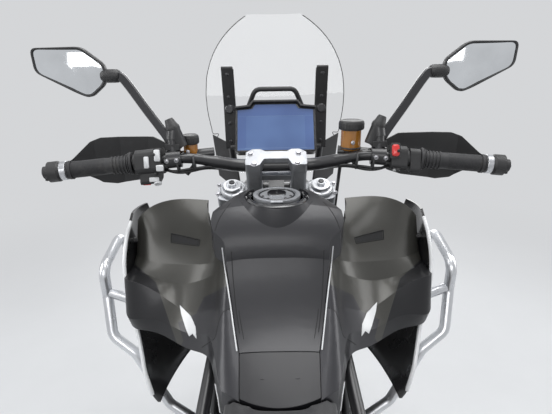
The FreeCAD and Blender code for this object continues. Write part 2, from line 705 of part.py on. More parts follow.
parts["subframe"] = subframe().cut(near_frame)
near_subframe = subframe(seat_gap)


# Engine

def profile(corners, x0, x1, radius=0.0):
    """A side outline of y, z corners, pushed out from x0 to x1."""
    return plate([V(x0, y, z) for y, z in corners], X * (x1 - x0), radius)


def engine_case():
    case = profile([(-182, 300), (-182, 470), (-140, 528), (30, 528), (60, 500), (236, 470), (242, 360),
                    (200, 262),
                    (-120, 258)], -92, 92, 30)
    sides = []
    for s in (-1, 1):
        sides.append(cyl(V(s * 90, 96, 392), V(s * 148, 96, 392), 92))
        sides.append(cyl(V(s * 147, 96, 392), V(s * 156, 96, 392), 74))
        sides.append(cyl(V(s * 90, -56, 400), V(s * 136, -56, 400), 76))
        sides.append(profile([(-136, 330), (-136, 440), (-20, 470), (180, 440), (190, 320), (40, 290),
                              (-90, 300)],
                             s * 90, s * 124, 24))
        sides.append(cyl(V(s * 90, -138, 460), V(s * 150, -138, 460), 14))
        sides.append(cyl(V(s * 90, 150, 482), V(s * 160, 150, 482), 13))
    sump = profile([(-90, 262), (190, 266), (170, 232), (-60, 230)], -80, 80, 10)
    return fuse(case, sump, *sides).cut(near_frame)


parts["engine_case"] = engine_case()


def engine_head():
    """Three cylinders in one block, leaning forwards, with the cam cover on top."""
    lean = math.radians(18)
    up, fwd = V(0, math.sin(lean), math.cos(lean)), V(0, math.cos(lean), -math.sin(lean))
    foot = V(0, 140, 505)
    def block(half_x, back, front, low, high, r):
        pts = [foot + X * -half_x + fwd * -back + up * low, foot + X * -half_x + fwd * front + up * low,
               foot + X * -half_x + fwd * front + up * high, foot + X * -half_x + fwd * -back + up * high]
        return plate(pts, X * 2 * half_x, r)
    barrel = block(128, 78, 78, 14, 110, 8)
    head = block(134, 88, 90, 108, 176, 10)
    cover = block(126, 80, 80, 174, 214, 18)
    lugs = cyl(foot + up * 60 - X * 160, foot + up * 60 + X * 160, 14)
    body = fuse(barrel, head, cover, lugs)
    return body.cut(parts["engine_case"]).cut(near_frame)


parts["engine_head"] = engine_head()


def radiators():
    """Two leaning radiators, one each side ahead of the engine."""
    core = plate([V(62, 352, 560), V(62, 386, 572), V(62, 470, 800), V(62, 436, 812)], X * 92, 4)
    tank = plate([V(152, 348, 556), V(152, 390, 568), V(152, 474, 802), V(152, 432, 816)], X * 22, 6)
    stay = cyl(V(163, 396, 690), V(159, 312, 690), 7)
    return both(fuse(core, tank, stay).cut(near_frame))


parts["radiators"] = radiators()


def skid_plate():
    floor = profile([(-130, 204), (190, 204), (306, 236), (352, 330), (346, 334), (300, 243), (186, 211),
                     (-130, 211)],
                    -118, 118, 2)
    sides = [profile([(-120, 206), (188, 206), (296, 236), (286, 250), (190, 228), (-120, 228)], s * 114,
                     s * 119, 4)
             for s in (-1, 1)]
    pegs = [cyl(V(x, y, 208), V(x, y, 240), 8) for x in (-48, 48) for y in (10, 130)]
    return fuse(floor, *sides, *pegs).cut(parts["engine_case"])


parts["skid_plate"] = skid_plate()


silencer_start, silencer_end = V(200, -363, 498), V(212, -830, 640)
silencer_way = (silencer_end - silencer_start).normalize()
parts["exhaust_pipe"] = fuse(
    tube([V(-80, 268, 590), V(-80, 322, 575), V(-76, 326, 470), V(-50, 306, 340)], 19, 45),
    tube([V(0, 268, 590), V(0, 322, 575), V(0, 326, 470), V(0, 306, 340)], 19, 45),
    tube([V(80, 268, 590), V(80, 322, 575), V(76, 326, 470), V(50, 306, 340)], 19, 45),
    profile([(280, 352), (330, 352), (322, 300), (276, 300)], -72, 72, 10),
    tube([V(50, 303, 326), V(120, 286, 286), V(164, 215, 264), V(164, 60, 262), V(180, -110, 262),
          V(198, -236, 292),
          V(200, -290, 400), silencer_start - silencer_way * 40, silencer_start - silencer_way * seat_gap],
         24, 60),
)


def silencer():
    a, b, way = silencer_start, silencer_end, silencer_way
    body = loft([rounded([a + way * d + V(x * k, 0, z * k) for x, z in
                          [(-44, 62), (44, 62), (52, 0), (44, -62), (-44, -62), (-50, 0)]], 22)
                 for d, k in ((30, 0.72), (90, 1.0), (470, 1.0))], True)
    neck = cone(a, a + way * 34, 30, 38)
    tip = ring(b - way * 40, b + way * 24, 26, 22)
    bracket = plate([V(158, -480, 590), V(158, -440, 590), V(158, -330, 690), V(158, -350, 706)], X * 8, 6)
    strap = cyl(V(158, -462, 592), V(190, -462, 580), 11)
    top_bolt = cyl(V(140, -346, 676), V(166, -346, 690), 9)
    return fuse(body, neck, tip, bracket, strap, top_bolt).cut(near_subframe)


parts["silencer"] = silencer()


# Tank, seats and bodywork

console_floor = [(-4, 858), (88, 910), (122, 937), (162, 970), (195, 1010), (215, 1040), (240, 1068),
                 (372, 1068)]
console_half = [(-4, 66), (88, 71), (122, 80), (162, 89), (195, 97.5), (213, 103), (228, 125), (244, 132),
                (262, 129),
                (298, 96), (330, 74), (354, 56), (372, 30)]
console_split = 87.0        # the tank cover's rear edge; a gloss infill runs from here to the seat
crown_half, crown_drop = 140.0, 18.0


def side_line(x, drop=0.0, lift=0.0, sink=0.0):
    """The console's outline seen from the side: a ramp, a long hollow curve, a shoulder and a level top."""
    def p(y, z):
        return V(x, y, z - drop)
    rise = V(0, 0, lift)
    knots = [p(-4, 869), p(42, 897), p(88, 924), p(155, 975), p(203, 1050), p(226, 1107), p(262, 1139),
             p(318, 1147), p(372, 1143)]
    knots = [k + rise for k in knots]
    top = [arc(*knots[i:i + 3]) for i in (0, 2, 4, 6)]
    low = [V(x, y, z - drop - sink) for y, z in reversed(console_floor)]
    ends = [knots[-1]] + low + [knots[0]]
    return Part.Wire(top + [line(a, b) for a, b in zip(ends, ends[1:])])


def cross_loft(rows, ruled=False):
    """A loft across the machine through closed y, z outlines, each at its own x."""
    return loft([Part.makePolygon([V(x, y, z) for y, z in pts + pts[:1]]) for x, pts in rows], ruled)


def crowned(edge=0.0, lift=0.0, sink=0.0):
    """The console between its side lines, falling away from the centre, drawn in at the plan's edge."""
    wires = [side_line(k * crown_half, crown_drop * abs(k) ** 3, lift, sink)
             for k in (-1.0, -0.86, -0.5, 0.0, 0.5, 0.86, 1.0)]
    plan = [(-w + edge, y) for y, w in console_half] + [(w - edge, y) for y, w in reversed(console_half)]
    return loft(wires).common(plate([V(x, y, 700) for x, y in plan], Z * 600, 8))


def seat_side(gap):
    """Everything behind the curved line where the seat's nose meets the console, moved back by gap."""
    a, b, c = V(-130, 68.6 - gap, 600), V(0, 7 - gap, 600), V(130, 68.6 - gap, 600)
    d, e = V(130, -420, 600), V(-130, -420, 600)
    return Part.Face(Part.Wire([arc(a, b, c), line(c, d), line(d, e), line(e, a)])).extrude(Z * 400)


def fork_room():
    """The spaces the turning yokes, legs and bar posts need, as seen along the steering axis."""
    middle = [cyl(on_steering(930), on_steering(1215), 56)]
    posts, legs = [], []
    for s in (-1, 1):
        post = steering_plate([(s * 26, -27), (s * 76, -27), (s * 76, 40), (s * 26, 40)], 944, 370, 4)
        leg = cyl(on_steering(700, s * fork_half_spacing, fork_offset),
                  on_steering(1222, s * fork_half_spacing, fork_offset),
                  outer_tube_r + 25)
        for shape, turns, found in ((post, (-38, -28.5, -19, -9.5, 0, 9.5, 19, 28.5, 38), posts),
                                    (leg, (-38, -19, 0, 19, 38), legs)):
            for turn in turns:
                turned = shape.copy()
                turned.rotate(steer_foot, steer_dir, turn)
                found.append(turned)
    return middle, posts, legs


def steering_clear(shape, spaces):
    """The largest piece of a shape once it is cleared of the given spaces."""
    for space in spaces:
        if shape.BoundBox.intersect(space.BoundBox):
            shape = shape.cut(space)
    return max(shape.Solids, key=lambda solid: solid.Volume)


cap_centre = V(0, 300, 1143)
cap_r = 50.0
cap_ring_r = 67.0
middle_room, post_room, leg_room = fork_room()
cap_well = cyl(cap_centre - Z * 40, cap_centre + Z * 60, cap_r + 4)
cap_step = cyl(cap_centre - Z * 2, cap_centre + Z * 60, cap_ring_r)
console_solid = crowned().cut(seat_side(0))
infill = console_solid.common(box((-200, 0, 700), (200, console_split - 0.6, 1300)))
cover = console_solid.common(box((-200, console_split + 0.6, 700), (200, 500, 1300)))
cover = steering_clear(cover.cut(cap_well).cut(cap_step), middle_room + post_room + leg_room)
parts["tank_cover"] = Part.makeCompound([cover, infill])
under_cover = crowned(-1.2, 30, 2)


def cowl_skin(inward, outward):
    """The outer fairing's sheet; its rear edge sweeps down and inwards from the shoulder."""
    rows = [
        (1066, (352, 424), (340, 500)),
        (1010, (353, 352), (338, 530)),
        (935, (346, 304), (322, 528)),
        (885, (334, 288), (306, 506)),
        (817, (314, 254), (286, 470)),
        (755, (298, 222), (258, 430)),
        (700, (270, 205), (236, 380)),
    ]
    wires = []
    for z, (x_back, y_back), (x_front, y_front) in rows:
        mid_x, mid_y = (x_back + x_front) / 2 + 6, (y_back + y_front) / 2
        outer = arc(V(x_back + outward, y_back, z), V(mid_x + outward, mid_y, z),
                    V(x_front + outward, y_front, z))
        inner = arc(V(x_front - inward, y_front, z), V(mid_x - inward, mid_y, z),
                    V(x_back - inward, y_back, z))
        wires.append(Part.Wire([outer, line(V(x_front + outward, y_front, z),
                                            V(x_front - inward, y_front, z)), inner,
                                line(V(x_back - inward, y_back, z), V(x_back + outward, y_back, z))]))
    return loft(wires)


cowl_t = 6.0


def tank_plan(grow):
    """The tank's outline from above, as a tall block with its sides moved out by grow."""
    half = [(20 - grow, 58 + grow), (88, 66 + grow), (122, 76 + grow), (162, 84 + grow), (195, 93 + grow),
            (384 + grow, 96 + grow)]
    plan = [(-w, y) for y, w in half] + [(w, y) for y, w in reversed(half)]
    return plate([V(x, y, 700) for x, y in plan], Z * 600, 10)


def tank_panels():
    """The wide shoulders: front face, sloping top, crease, hollow and knee roll, as one half."""
    rows = [
        (60, [(430, 880), (430, 1080), (236, 1044), (216, 1028), (150, 960), (10, 866), (12, 812)]),
        (84, [(430, 880), (430, 1084), (236, 1050), (216, 1034), (150, 968), (14, 868), (18, 808)]),
        (103, [(430, 900), (430, 1084), (236, 1050), (216, 1034), (150, 970), (48, 884), (46, 814)]),
        (118, [(434, 900), (436, 1085), (258, 1028), (236, 1010), (168, 960), (100, 906), (92, 836)]),
        (135, [(440, 900), (445, 1086), (282, 1003), (260, 985), (190, 945), (150, 912), (140, 862)]),
        (180, [(445, 900), (452, 1088), (306, 986), (284, 955), (225, 915), (196, 884), (186, 852)]),
        (250, [(448, 900), (452, 1090), (330, 977), (305, 945), (266, 930), (240, 885), (238, 850)]),
        (305, [(445, 900), (446, 1076), (354, 975), (326, 955), (278, 957), (250, 885), (257, 852)]),
        (340, [(430, 930), (430, 1046), (392, 973), (362, 956), (296, 960), (280, 890), (296, 868)]),
    ]
    half = cross_loft(rows).cut(tank_plan(0.6)).cut(under_cover).cut(seat_side(-0.6)).cut(near_frame)
    return steering_clear(half.cut(cowl_skin(cowl_t + seat_gap, 60)), leg_room[5:])


parts["tank_panels"] = both(tank_panels())


def fuel_tank():
    """The tank itself under the cover, with the filler neck."""
    roof = [(y, z - seat_gap) for y, z in console_floor[1:]]
    body = profile([(20, 871)] + roof + [(384, 1060), (384, 960), (300, 880), (160, 806), (70, 806)], -150,
                   150)
    body = body.common(tank_plan(0))
    neck = ring(cap_centre - Z * 90, cap_centre - Z * 5.3, cap_r + 3.4, cap_r - 10)
    body = body.cut(cyl(cap_centre - Z * 88, cap_centre + Z * 60, cap_r - 10))
    body = body.cut(cyl(on_steering(top_yoke_u - 12), on_steering(top_yoke_u + 38), 86))
    body = fuse(steering_clear(body.cut(under_cover).cut(near_frame), middle_room + leg_room),
                neck.cut(cover))
    studs = [cyl(V(s * 60, y, z), V(s * 125, y, z), 9) for s in (-1, 1) for y,
             z in ((300, 990), (140, 905))]
    for panel in parts["tank_panels"].Solids:
        near = panel.copy()
        near.translate(X * (-seat_gap if panel.CenterOfMass.x > 0 else seat_gap))
        studs = [stud.cut(panel).cut(near).Solids[0] for stud in studs]
    return fuse(body, *studs)


parts["fuel_tank"] = fuel_tank()
infill_pegs = [cyl(V(x, 54, 880), V(x, 54, 900), 8).cut(parts["fuel_tank"]) for x in (-30, 30)]
parts["tank_cover"] = Part.makeCompound([cover, fuse(infill, *infill_pegs)])

cap_hinge = cap_centre + V(0, -cap_r + 2, 4)


def fuel_cap():
    """The lid in its ring, hinged at the rear and sitting on the filler neck."""
    lid = cyl(cap_centre - Z * 5, cap_centre + Z * 4, cap_r - 1)
    rim_step = ring(cap_centre + Z * 4, cap_centre + Z * 6, cap_r - 1, cap_r - 9)
    flap = fuse(cyl(cap_centre + Z * 4, cap_centre + Z * 6.5, 17),
                box((-8, cap_centre.y - 34, cap_centre.z + 4),
                                                                      (8, cap_centre.y + 10,
                                                                          cap_centre.z + 6.5)))
    plug = cyl(cap_centre - Z * 18, cap_centre - Z * 5, cap_r - 15)
    pin = cyl(cap_hinge - X * 12, cap_hinge + X * 12, 3)
    return fuse(lid, rim_step, flap, plug, pin)


parts["fuel_cap"] = fuel_cap()


def side_cowls():
    """A thin outer fairing each side, held on studs from the tank panel and a stay from the radiator."""
    panel = [p for p in parts["tank_panels"].Solids if p.CenterOfMass.x > 0][0]
    studs = [cyl(V(300, y, z), V(348, y, z), 8) for y, z in ((410, 1000), (330, 935))]
    near = panel.copy()
    near.translate(X * seat_gap)
    studs = [max(stud.cut(panel).cut(near).Solids, key=lambda solid: solid.CenterOfMass.x)
             for stud in studs]
    stay = tube([V(166, 446, 782), V(200, 430, 790), V(284, 420, 800)], 7, 30)
    return both(fuse(cowl_skin(cowl_t, 0), *studs, stay).cut(parts["radiators"]))


parts["side_cowls"] = side_cowls()


def nose_cowl():
    """The beak over the front wheel, reaching back beside the lamp."""
    rows = [(560 + 60, 118, 858, 772), (700, 112, 868, 776), (800, 84, 858, 790), (900, 52, 838, 800),
            (968, 24, 816, 782)]
    wires = [section(y, 0.0, symmetric([(0.5 * w, top), (w, top - 18), (w * 0.94, low)]), 6) for y, w, top,
             low in rows]
    return loft(wires)


parts["nose_cowl"] = steering_clear(nose_cowl(), leg_room).cut(near_frame)


def headlamp():
    rows = [(640, 96, 1060, 905), (700, 132, 1072, 888), (752, 128, 1040, 886), (792, 96, 985, 884)]
    wires = [section(y, 0.0, symmetric([(0.66 * w, top), (w, top - 50), (w * 0.7, low)]), 12) for y, w, top,
             low in rows]
    return steering_clear(loft(wires), middle_room + leg_room).cut(near_frame)


parts["headlamp"] = headlamp()


def windscreen():
    """A clear bowed sheet, wider at its foot, leaning back."""
    d = V(0, -4, 0)
    rows = []
    for y, z, half, sweep in ((742, 1085, 150, 48), (668, 1260, 177, 50), (600, 1420, 152, 40),
                              (560, 1511, 62, 12)):
        a, b, c = V(-half, y - sweep, z), V(0, y, z), V(half, y - sweep, z)
        rows.append(Part.Wire([arc(a, b, c), line(c, c + d), arc(c + d, b + d, a + d), line(a + d, a)]))
    return loft(rows)


parts["windscreen"] = windscreen()


def screen_bracket():
    arms = []
    for s in (-1, 1):
        arms.append(plate([V(s * 105, 586, 1186), V(s * 105, 616, 1186), V(s * 105, 608, 1300),
                           V(s * 105, 576, 1396),
                           V(s * 105, 562, 1396), V(s * 105, 584, 1300)], X * s * 28, 4))
        arms.append(cyl(V(s * 119, 596, 1240), V(s * 119, 638, 1240), 6))
        arms.append(cyl(V(s * 119, 580, 1350), V(s * 119, 602, 1350), 6))
    bar = tube([V(-72, 586, 1290), V(-50, 574, 1340), V(50, 574, 1340), V(72, 586, 1290)], 6, 20)
    cross = cyl(V(-120, 594, 1290), V(120, 594, 1290), 7)
    whole = fuse(*arms, bar, cross).cut(near_frame)
    for back in (0, -0.5, -4, -8):
        screen = parts["windscreen"].copy()
        screen.translate(Y * (0.8 - back))
        whole = whole.cut(screen)
    return whole.cut(parts["windscreen"])


parts["screen_bracket"] = screen_bracket()


def display():
    """The screen in its housing, leaning back 30 degrees, with its post to the frame."""
    c = V(0, 500, 1254)
    lean = math.radians(30)
    up, back = V(0, math.sin(lean), math.cos(lean)), V(0, -math.cos(lean), math.sin(lean))
    pts = [(-98, -62), (98, -62), (98, 50), (60, 54), (52, 66), (-52, 66), (-60, 54), (-98, 50)]
    body = plate([c + X * x + up * z for x, z in pts], back * -22, 8)
    post = cyl(c - back * 22 + up * -20, V(0, 560, 1200 + 9), 9)
    return fuse(body, post).cut(near_frame)


parts["instrument_display"] = display()


def seats():
    rows = [(70, 104, 884, 834), (20, 101, 884, 828), (-60, 104, 872, 812), (-150, 122, 872, 802),
            (-260, 152, 884, 792),
            (-350, 150, 906, 790.4)]
    wires = [section(y, 0.0, symmetric([(0.78 * w, top), (w, top - 26), (w, low)]), 14) for y, w, top,
             low in rows]
    rider = loft(wires).common(seat_side(0.6))
    rows = [(-352, 146, 930, 816), (-440, 148, 944, 820), (-600, 130, 948, 834), (-690, 98, 944, 834)]
    wires = [section(y, 0.0, symmetric([(0.78 * w, top), (w, top - 26), (w, low)]), 14) for y, w, top,
             low in rows]
    for node in ("fuel_tank", "tank_panels"):
        near = parts[node].copy()
        near.translate(Y * -0.4)
        rider = rider.cut(near).cut(parts[node])
    rider = max(rider.cut(near_subframe).cut(near_frame).Solids, key=lambda solid: solid.Volume)
    return rider, loft(wires).cut(near_subframe)


parts["rider_seat"], parts["pillion_seat"] = seats()


def rack_rails(grow=0.0):
    """The grab rails on both sides of the pillion seat, with every face moved out by grow."""
    g = grow
    rails = []
    for s in (-1, 1):
        rails.append(tube([V(s * 134, -470, 802), V(s * 184, -480, 812), V(s * 196, -500, 862),
                           V(s * 194, -600, 912),
                           V(s * 176, -720, 950), V(s * 100, -790, 957)], 10 + g, 50))
        rails.append(tube([V(s * 104, -840, 854), V(s * 112, -850, 957)], 9 + g))
    return rails


def tail_panels():
    rows = [(-180, 170, 804, 744), (-340, 170, 812, 730), (-520, 160, 840, 770), (-720, 138, 870, 822),
            (-850, 118, 876, 846)]
    wires = [rounded([V(w - 7, y, top), V(w - 1, y, top - 3), V(w - 3, y, low), V(w - 9, y, low + 2)], 2)
             for y, w, top, low in rows]
    pegs = [cyl(V(x_in, y, z), V(x_out, y, z), 7) for x_in, x_out, y,
            z in ((138, 168, -300, 776), (120, 150, -640, 830))]
    return fuse(loft(wires), *pegs).cut(near_subframe).cut(Part.makeCompound(rack_rails(seat_gap)))


parts["tail_panels"] = both(tail_panels())

rack_top, rack_t = 968.0, 10.0
rack_hole_x, rack_hole_y, rack_hole_d = 160.0, 180.0, 9.0
rack_mid_y = -800.0


def rear_rack():
    """A flat carrier behind the seat, with the grab rails that hold it."""
    outline = [V(-105, -700, rack_top), V(105, -700, rack_top), V(120, -780, rack_top),
               V(98, -945, rack_top),
               V(-98, -945, rack_top), V(-120, -780, rack_top)]
    deck = plate(outline, Z * -rack_t, 24)
    slots = [box((-52, rack_mid_y + dy - 12, rack_top - 30), (52, rack_mid_y + dy + 12, rack_top + 10))
             for dy in (-60, 0, 60)]
    holes = [cyl(V(sx * rack_hole_x / 2, rack_mid_y + sy * rack_hole_y / 2, rack_top - 30),
                 V(sx * rack_hole_x / 2, rack_mid_y + sy * rack_hole_y / 2, rack_top + 10), rack_hole_d / 2)
             for sx in (-1, 1) for sy in (-1, 1)]
    return fuse(deck, *rack_rails()).cut(Part.makeCompound(slots + holes)).cut(near_subframe)


parts["rear_rack"] = rear_rack()


def rear_mudguard():
    """Guard and number plate holder hanging behind the wheel."""
    top = profile([(-500, 790), (-780, 828), (-900, 846), (-905, 838), (-780, 818), (-500, 780)], -84, 84)
    hanger = profile([(-880, 848), (-905, 846), (tail_end + 60, 600), (tail_end, 520), (tail_end + 7, 516),
                      (tail_end + 52, 590), (-880, 836)], -55, 55)
    board = plate([V(-95, tail_end + 70, 618), V(95, tail_end + 70, 618), V(95, tail_end + 2, 520),
                   V(-95, tail_end + 2, 520)],
                  V(0, 5, -3))
    return fuse(top, hanger, board).cut(near_subframe)


parts["rear_mudguard"] = rear_mudguard()


def tail_lamp():
    body = box((-62, -960, 880), (62, -905, 925))
    post = box((-30, -912, 858), (30, -884, 884))
    return fuse(body, post).cut(near_subframe).cut(parts["rear_rack"])


parts["tail_lamp"] = tail_lamp()


def turn_signals():
    """A stalk and a lamp on each side of the rear mudguard and of the nose cowl."""
    stalk = cyl(V(50, -985, 730), V(112, -985, 730), 7)
    lamp = plate([V(110, -1003, 714), V(110, -967, 714), V(110, -967, 746), V(110, -1003, 746)], X * 66, 8)
    rear = fuse(stalk, lamp)
    stalk2 = cyl(V(88, 712, 850), V(140, 712, 850), 7)
    lamp2 = plate([V(138, 695, 834), V(138, 730, 834), V(138, 730, 866), V(138, 695, 866)], X * 66, 8)
    front = fuse(stalk2, lamp2).cut(parts["nose_cowl"]).cut(parts["headlamp"]).cut(near_frame)
    rear = rear.cut(parts["rear_mudguard"])
    return Part.makeCompound([rear, mirrored(rear), front, mirrored(front)])


parts["turn_signals"] = turn_signals()


def crash_bars():
    """Hoops round the tank sides and the engine, and the cross tube ahead of the skid plate."""
    bars = []
    for s in (-1, 1):
        bars.append(tube([V(s * 158, 330, 716), V(s * 262, 470, 716), V(s * 356, 500, 800),
                          V(s * 398, 462, 998),
                          V(s * 398, 328, 966), V(s * 398, 330, 900), V(s * 384, 292, 812),
                          V(s * 332, 280, 772),
                          V(s * 262, 262, 640), V(s * 158, 240, 574)], 12, 34))
        bars.append(tube([V(s * 158, 226, 588), V(s * 236, 290, 500), V(s * 240, 330, 340),
                          V(s * 150, 354, 262),
                          V(0, 354, 262)], 12, 55))
    lugs = [cyl(V(x, 354, 262), V(x, 316, 262), 7) for x in (-60, 60)]
    return fuse(*bars, *lugs).cut(near_frame)


branches = both(cyl(V(392, 331, 904), V(320, 304, 895), 11))
parts["crash_bars"] = fuse(crash_bars().cut(parts["skid_plate"]), *[
    max(branch.cut(parts["side_cowls"]).Solids, key=lambda solid: abs(solid.CenterOfMass.x))
    for branch in branches.Solids])
hose_points = [V(150, 398, 1212), V(146, 410, 1176), V(150, 466, 1108), V(150, 512, 1010), V(150, 556, 908),
               V(149, 598, 820), V(148, 644, 700), V(147, 690, 560), V(138, 670, 490), V(84, 656, 452)]


def brake_hose():
    """The line from the brake's master cylinder to the right caliper."""
    hose = tube(hose_points, 4.0, 26)
    for node in ("front_calipers", "hand_levers", "fork_sliders"):
        hose = hose.cut(parts[node])
    return max(hose.Solids, key=lambda solid: solid.Volume)


parts["brake_hose"] = brake_hose()


def footrests():
    pieces = []
    for s in (-1, 1):
        face = plate_out + seat_gap
        hanger = plate([V(s * face, -240, 380), V(s * face, -155, 380), V(s * face, -162, 430),
                        V(s * face, -232, 440)], X * s * 16, 8)
        peg = box((min(s * 168, s * 262), -222, 392), (max(s * 168, s * 262), -172, 408))
        teeth = [box((min(s * (182 + 14 * i), s * (188 + 14 * i)), -222, 408),
                     (max(s * (182 + 14 * i), s * (188 + 14 * i)), -172, 416))
                 for i in range(6)]
        plate_back = plate([V(s * face, -345, 520), V(s * face, -250, 440), V(s * face, -236, 390),
                            V(s * face, -200, 420),
                            V(s * face, -240, 500), V(s * face, -330, 560)], X * s * 8, 8)
        rear_peg = cyl(V(s * face, -325, 540), V(s * 162, -325, 540), 15)
        pieces += [fuse(hanger, peg, plate_back, rear_peg, *teeth)]
    return Part.makeCompound(pieces)


parts["footrests"] = footrests()


def foot_levers():
    face = plate_out + seat_gap
    gear = fuse(cyl(V(-172, -34, 376), V(-236, -34, 376), 8),
                tube([V(-172, -34, 376), V(-172, -140, 370)], 6),
                cyl(V(-face, -140, 370), V(-180, -140, 370), 10),
                cyl(V(-130, -138, 371), V(-face - 2, -138, 371), 8))
    brake = fuse(cyl(V(176, -34, 376), V(232, -34, 376), 10),
                 tube([V(176, -34, 376), V(176, -140, 366)], 7),
                 cyl(V(face, -140, 366), V(184, -140, 366), 12),
                 cyl(V(130, -138, 366), V(face + 2, -138, 366), 8))
    return gear.cut(near_frame).cut(parts["engine_case"]), brake.cut(near_frame).cut(parts["engine_case"])


gear_lever, brake_pedal = foot_levers()
parts["foot_levers"] = Part.makeCompound([gear_lever.cut(parts["footrests"]),
                                          brake_pedal.cut(parts["footrests"])])


def swingarm():
    """Two arms with the shaft and bevel gear on the left, and the rear axle."""
    a, w = arm_half_gap, 34.0
    right = profile([(-180, 430), (-180, 480), (-300, 492), (-640, 420), (-790, 384), (-790, 332),
                     (-640, 352), (-320, 412)],
                    a, a + w, 16)
    left = profile([(-180, 424), (-180, 488), (-300, 500), (-640, 424), (-700, 400), (-700, 316),
                    (-640, 334), (-320, 404)],
                   -a - w, -a, 18)
    shaft = cyl(V(-a - 24, -280, 446), V(-a - 30, -700, 362), 34)
    bevel = fuse(cyl(rear_axle - X * (a - 3), rear_axle - X * (a + 62), 78),
                 cyl(rear_axle - X * (a + 60), rear_axle - X * (a + 70), 58))
    cross = profile([(-330, 420), (-330, 486), (-392, 470), (-392, 424)], -a - 4, a + 4, 12)
    axle = cyl(rear_axle - X * (a + 20), rear_axle + X * (a + w + 12), axle_r)
    nut = cyl(rear_axle + X * (a + w), rear_axle + X * (a + w + 9), 22)
    beam = cyl(V(-a - 4, -296, 448), V(a + 4, -296, 448), 20)
    return fuse(right, left, shaft, bevel, cross, axle, nut,
                beam).cut(cyl(pivot - X * 200, pivot + X * 200, pivot_r + seat_gap))


parts["swingarm"] = swingarm()


def rear_shock():
    a, b = V(0, -296, 470), V(0, -168, 655)
    way = (b - a).normalize()
    rod = cyl(a, b, 9)
    body = cyl(a + way * 95, b - way * 12, 24)
    coils = [cyl(a + way * (26 + 21 * i), a + way * (37 + 21 * i), 36) for i in range(8)]
    seat_low = cyl(a + way * 12, a + way * 20, 38)
    core = cyl(a + way * 12, b - way * 18, 22)
    return fuse(rod, body, core, seat_low, *coils).cut(parts["swingarm"]).cut(near_frame)


parts["rear_shock"] = rear_shock()

rear_cal = caliper(rear_axle, rear_disc_x, rear_disc_r, -58, 15, 20, 96, 40)
cal_arm = plate([V(94, -700, 392), V(94, -640, 404), V(94, -640, 446), V(94, -690, 470)], X * 12, 6)
parts["rear_caliper"] = fuse(rear_cal, cal_arm).cut(parts["swingarm"])


def side_stand():
    """Folded: the leg lies back along the left side, square to its tilted pin."""
    down = V(-math.sin(math.radians(20)), 0, -math.cos(math.radians(20)))
    knuckle = cyl(side_pivot + side_axis * (8 - seat_gap), side_pivot - side_axis * 12, 17)
    pin = cyl(side_pivot + side_axis * 28, side_pivot, stand_pin_r)
    leg = tube([side_pivot - side_axis * 6, side_pivot - side_axis * 6 - Y * 130 - down * 4,
                side_pivot - side_axis * 6 - Y * 262 - down * 10], 10, 40)
    heel = side_pivot - Y * 258 - down * 10
    foot = plate([heel + side_axis * 16 - down * 26, heel - side_axis * 26 - down * 26,
                  heel - side_axis * 26 + down * 30, heel + side_axis * 16 + down * 30], Y * -8, 8)
    return fuse(knuckle, pin, leg, foot)


parts["side_stand"] = side_stand()


def centre_stand():
    """Two legs spread to the floor, with a foot pad each and a lever on the left."""
    feet_y = centre_pivot.y + 26
    pin = cyl(centre_pivot - X * (plate_out - 2), centre_pivot + X * (plate_out - 2), stand_pin_r)
    pieces = [cyl(centre_pivot - X * 104, centre_pivot + X * 104, 17), pin]
    for s in (-1, 1):
        pieces.append(tube([V(s * 88, centre_pivot.y, centre_pivot.z), V(s * 92, centre_pivot.y + 10, 180),
                            V(s * 140, feet_y, 16)], 14, 60))
        pieces.append(box((min(s * 110, s * 172), feet_y - 32, 0),
                          (max(s * 110, s * 172), feet_y + 32, 14)))
    pieces.append(cyl(V(-112, feet_y - 6, 92), V(112, feet_y - 6, 92), 10))
    pieces.append(tube([V(-112, feet_y - 4, 98), V(-180, feet_y - 50, 120), V(-214, feet_y - 90, 150)], 8,
                       30))
    return fuse(*pieces)


parts["centre_stand"] = centre_stand()

os.makedirs("parts", exist_ok=True)
for name, shape in parts.items():
    solids = shape.Solids
    shape = solids[0] if len(solids) == 1 else Part.makeCompound(solids)
    shape.exportStep("parts/" + name + ".step")
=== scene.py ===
import json
import math

import bmesh
import bpy
from mathutils import Matrix, Vector
from mathutils.bvhtree import BVHTree
from mathutils.geometry import delaunay_2d_cdt


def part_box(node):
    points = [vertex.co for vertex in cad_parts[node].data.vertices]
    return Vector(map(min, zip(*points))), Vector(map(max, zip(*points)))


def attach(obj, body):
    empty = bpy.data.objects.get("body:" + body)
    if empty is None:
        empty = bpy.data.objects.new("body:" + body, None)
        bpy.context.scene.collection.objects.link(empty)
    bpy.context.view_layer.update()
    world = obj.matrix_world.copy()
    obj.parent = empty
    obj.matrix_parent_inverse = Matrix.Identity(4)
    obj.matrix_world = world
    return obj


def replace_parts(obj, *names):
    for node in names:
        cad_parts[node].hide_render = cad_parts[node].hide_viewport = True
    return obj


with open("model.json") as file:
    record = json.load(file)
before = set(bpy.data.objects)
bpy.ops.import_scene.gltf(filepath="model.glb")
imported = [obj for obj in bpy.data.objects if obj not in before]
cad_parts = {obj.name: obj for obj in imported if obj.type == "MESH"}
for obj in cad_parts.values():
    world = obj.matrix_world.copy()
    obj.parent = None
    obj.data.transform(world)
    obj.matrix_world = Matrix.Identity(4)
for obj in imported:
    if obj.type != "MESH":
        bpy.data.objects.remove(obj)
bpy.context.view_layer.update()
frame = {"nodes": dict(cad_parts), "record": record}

NODES = frame["nodes"]
SCENE = bpy.context.scene

# The photograph's width, focal length and middle, in pixels
PHOTO_W, FOCAL, MID_PX, MID_PY = 552.0, 420.0, 276.5, 207.0
MM = 0.001
SIDES = (-1, 1)
BACK = (0.66, 0.67, 0.685, 1)
SKY = (0.86, 0.88, 0.92, 1)


def V(x, y, z):
    return Vector((x, y, z))


UP = V(0, 0, 1)


def add(obj):
    SCENE.collection.objects.link(obj)
    return obj


# Camera, as found from the photograph

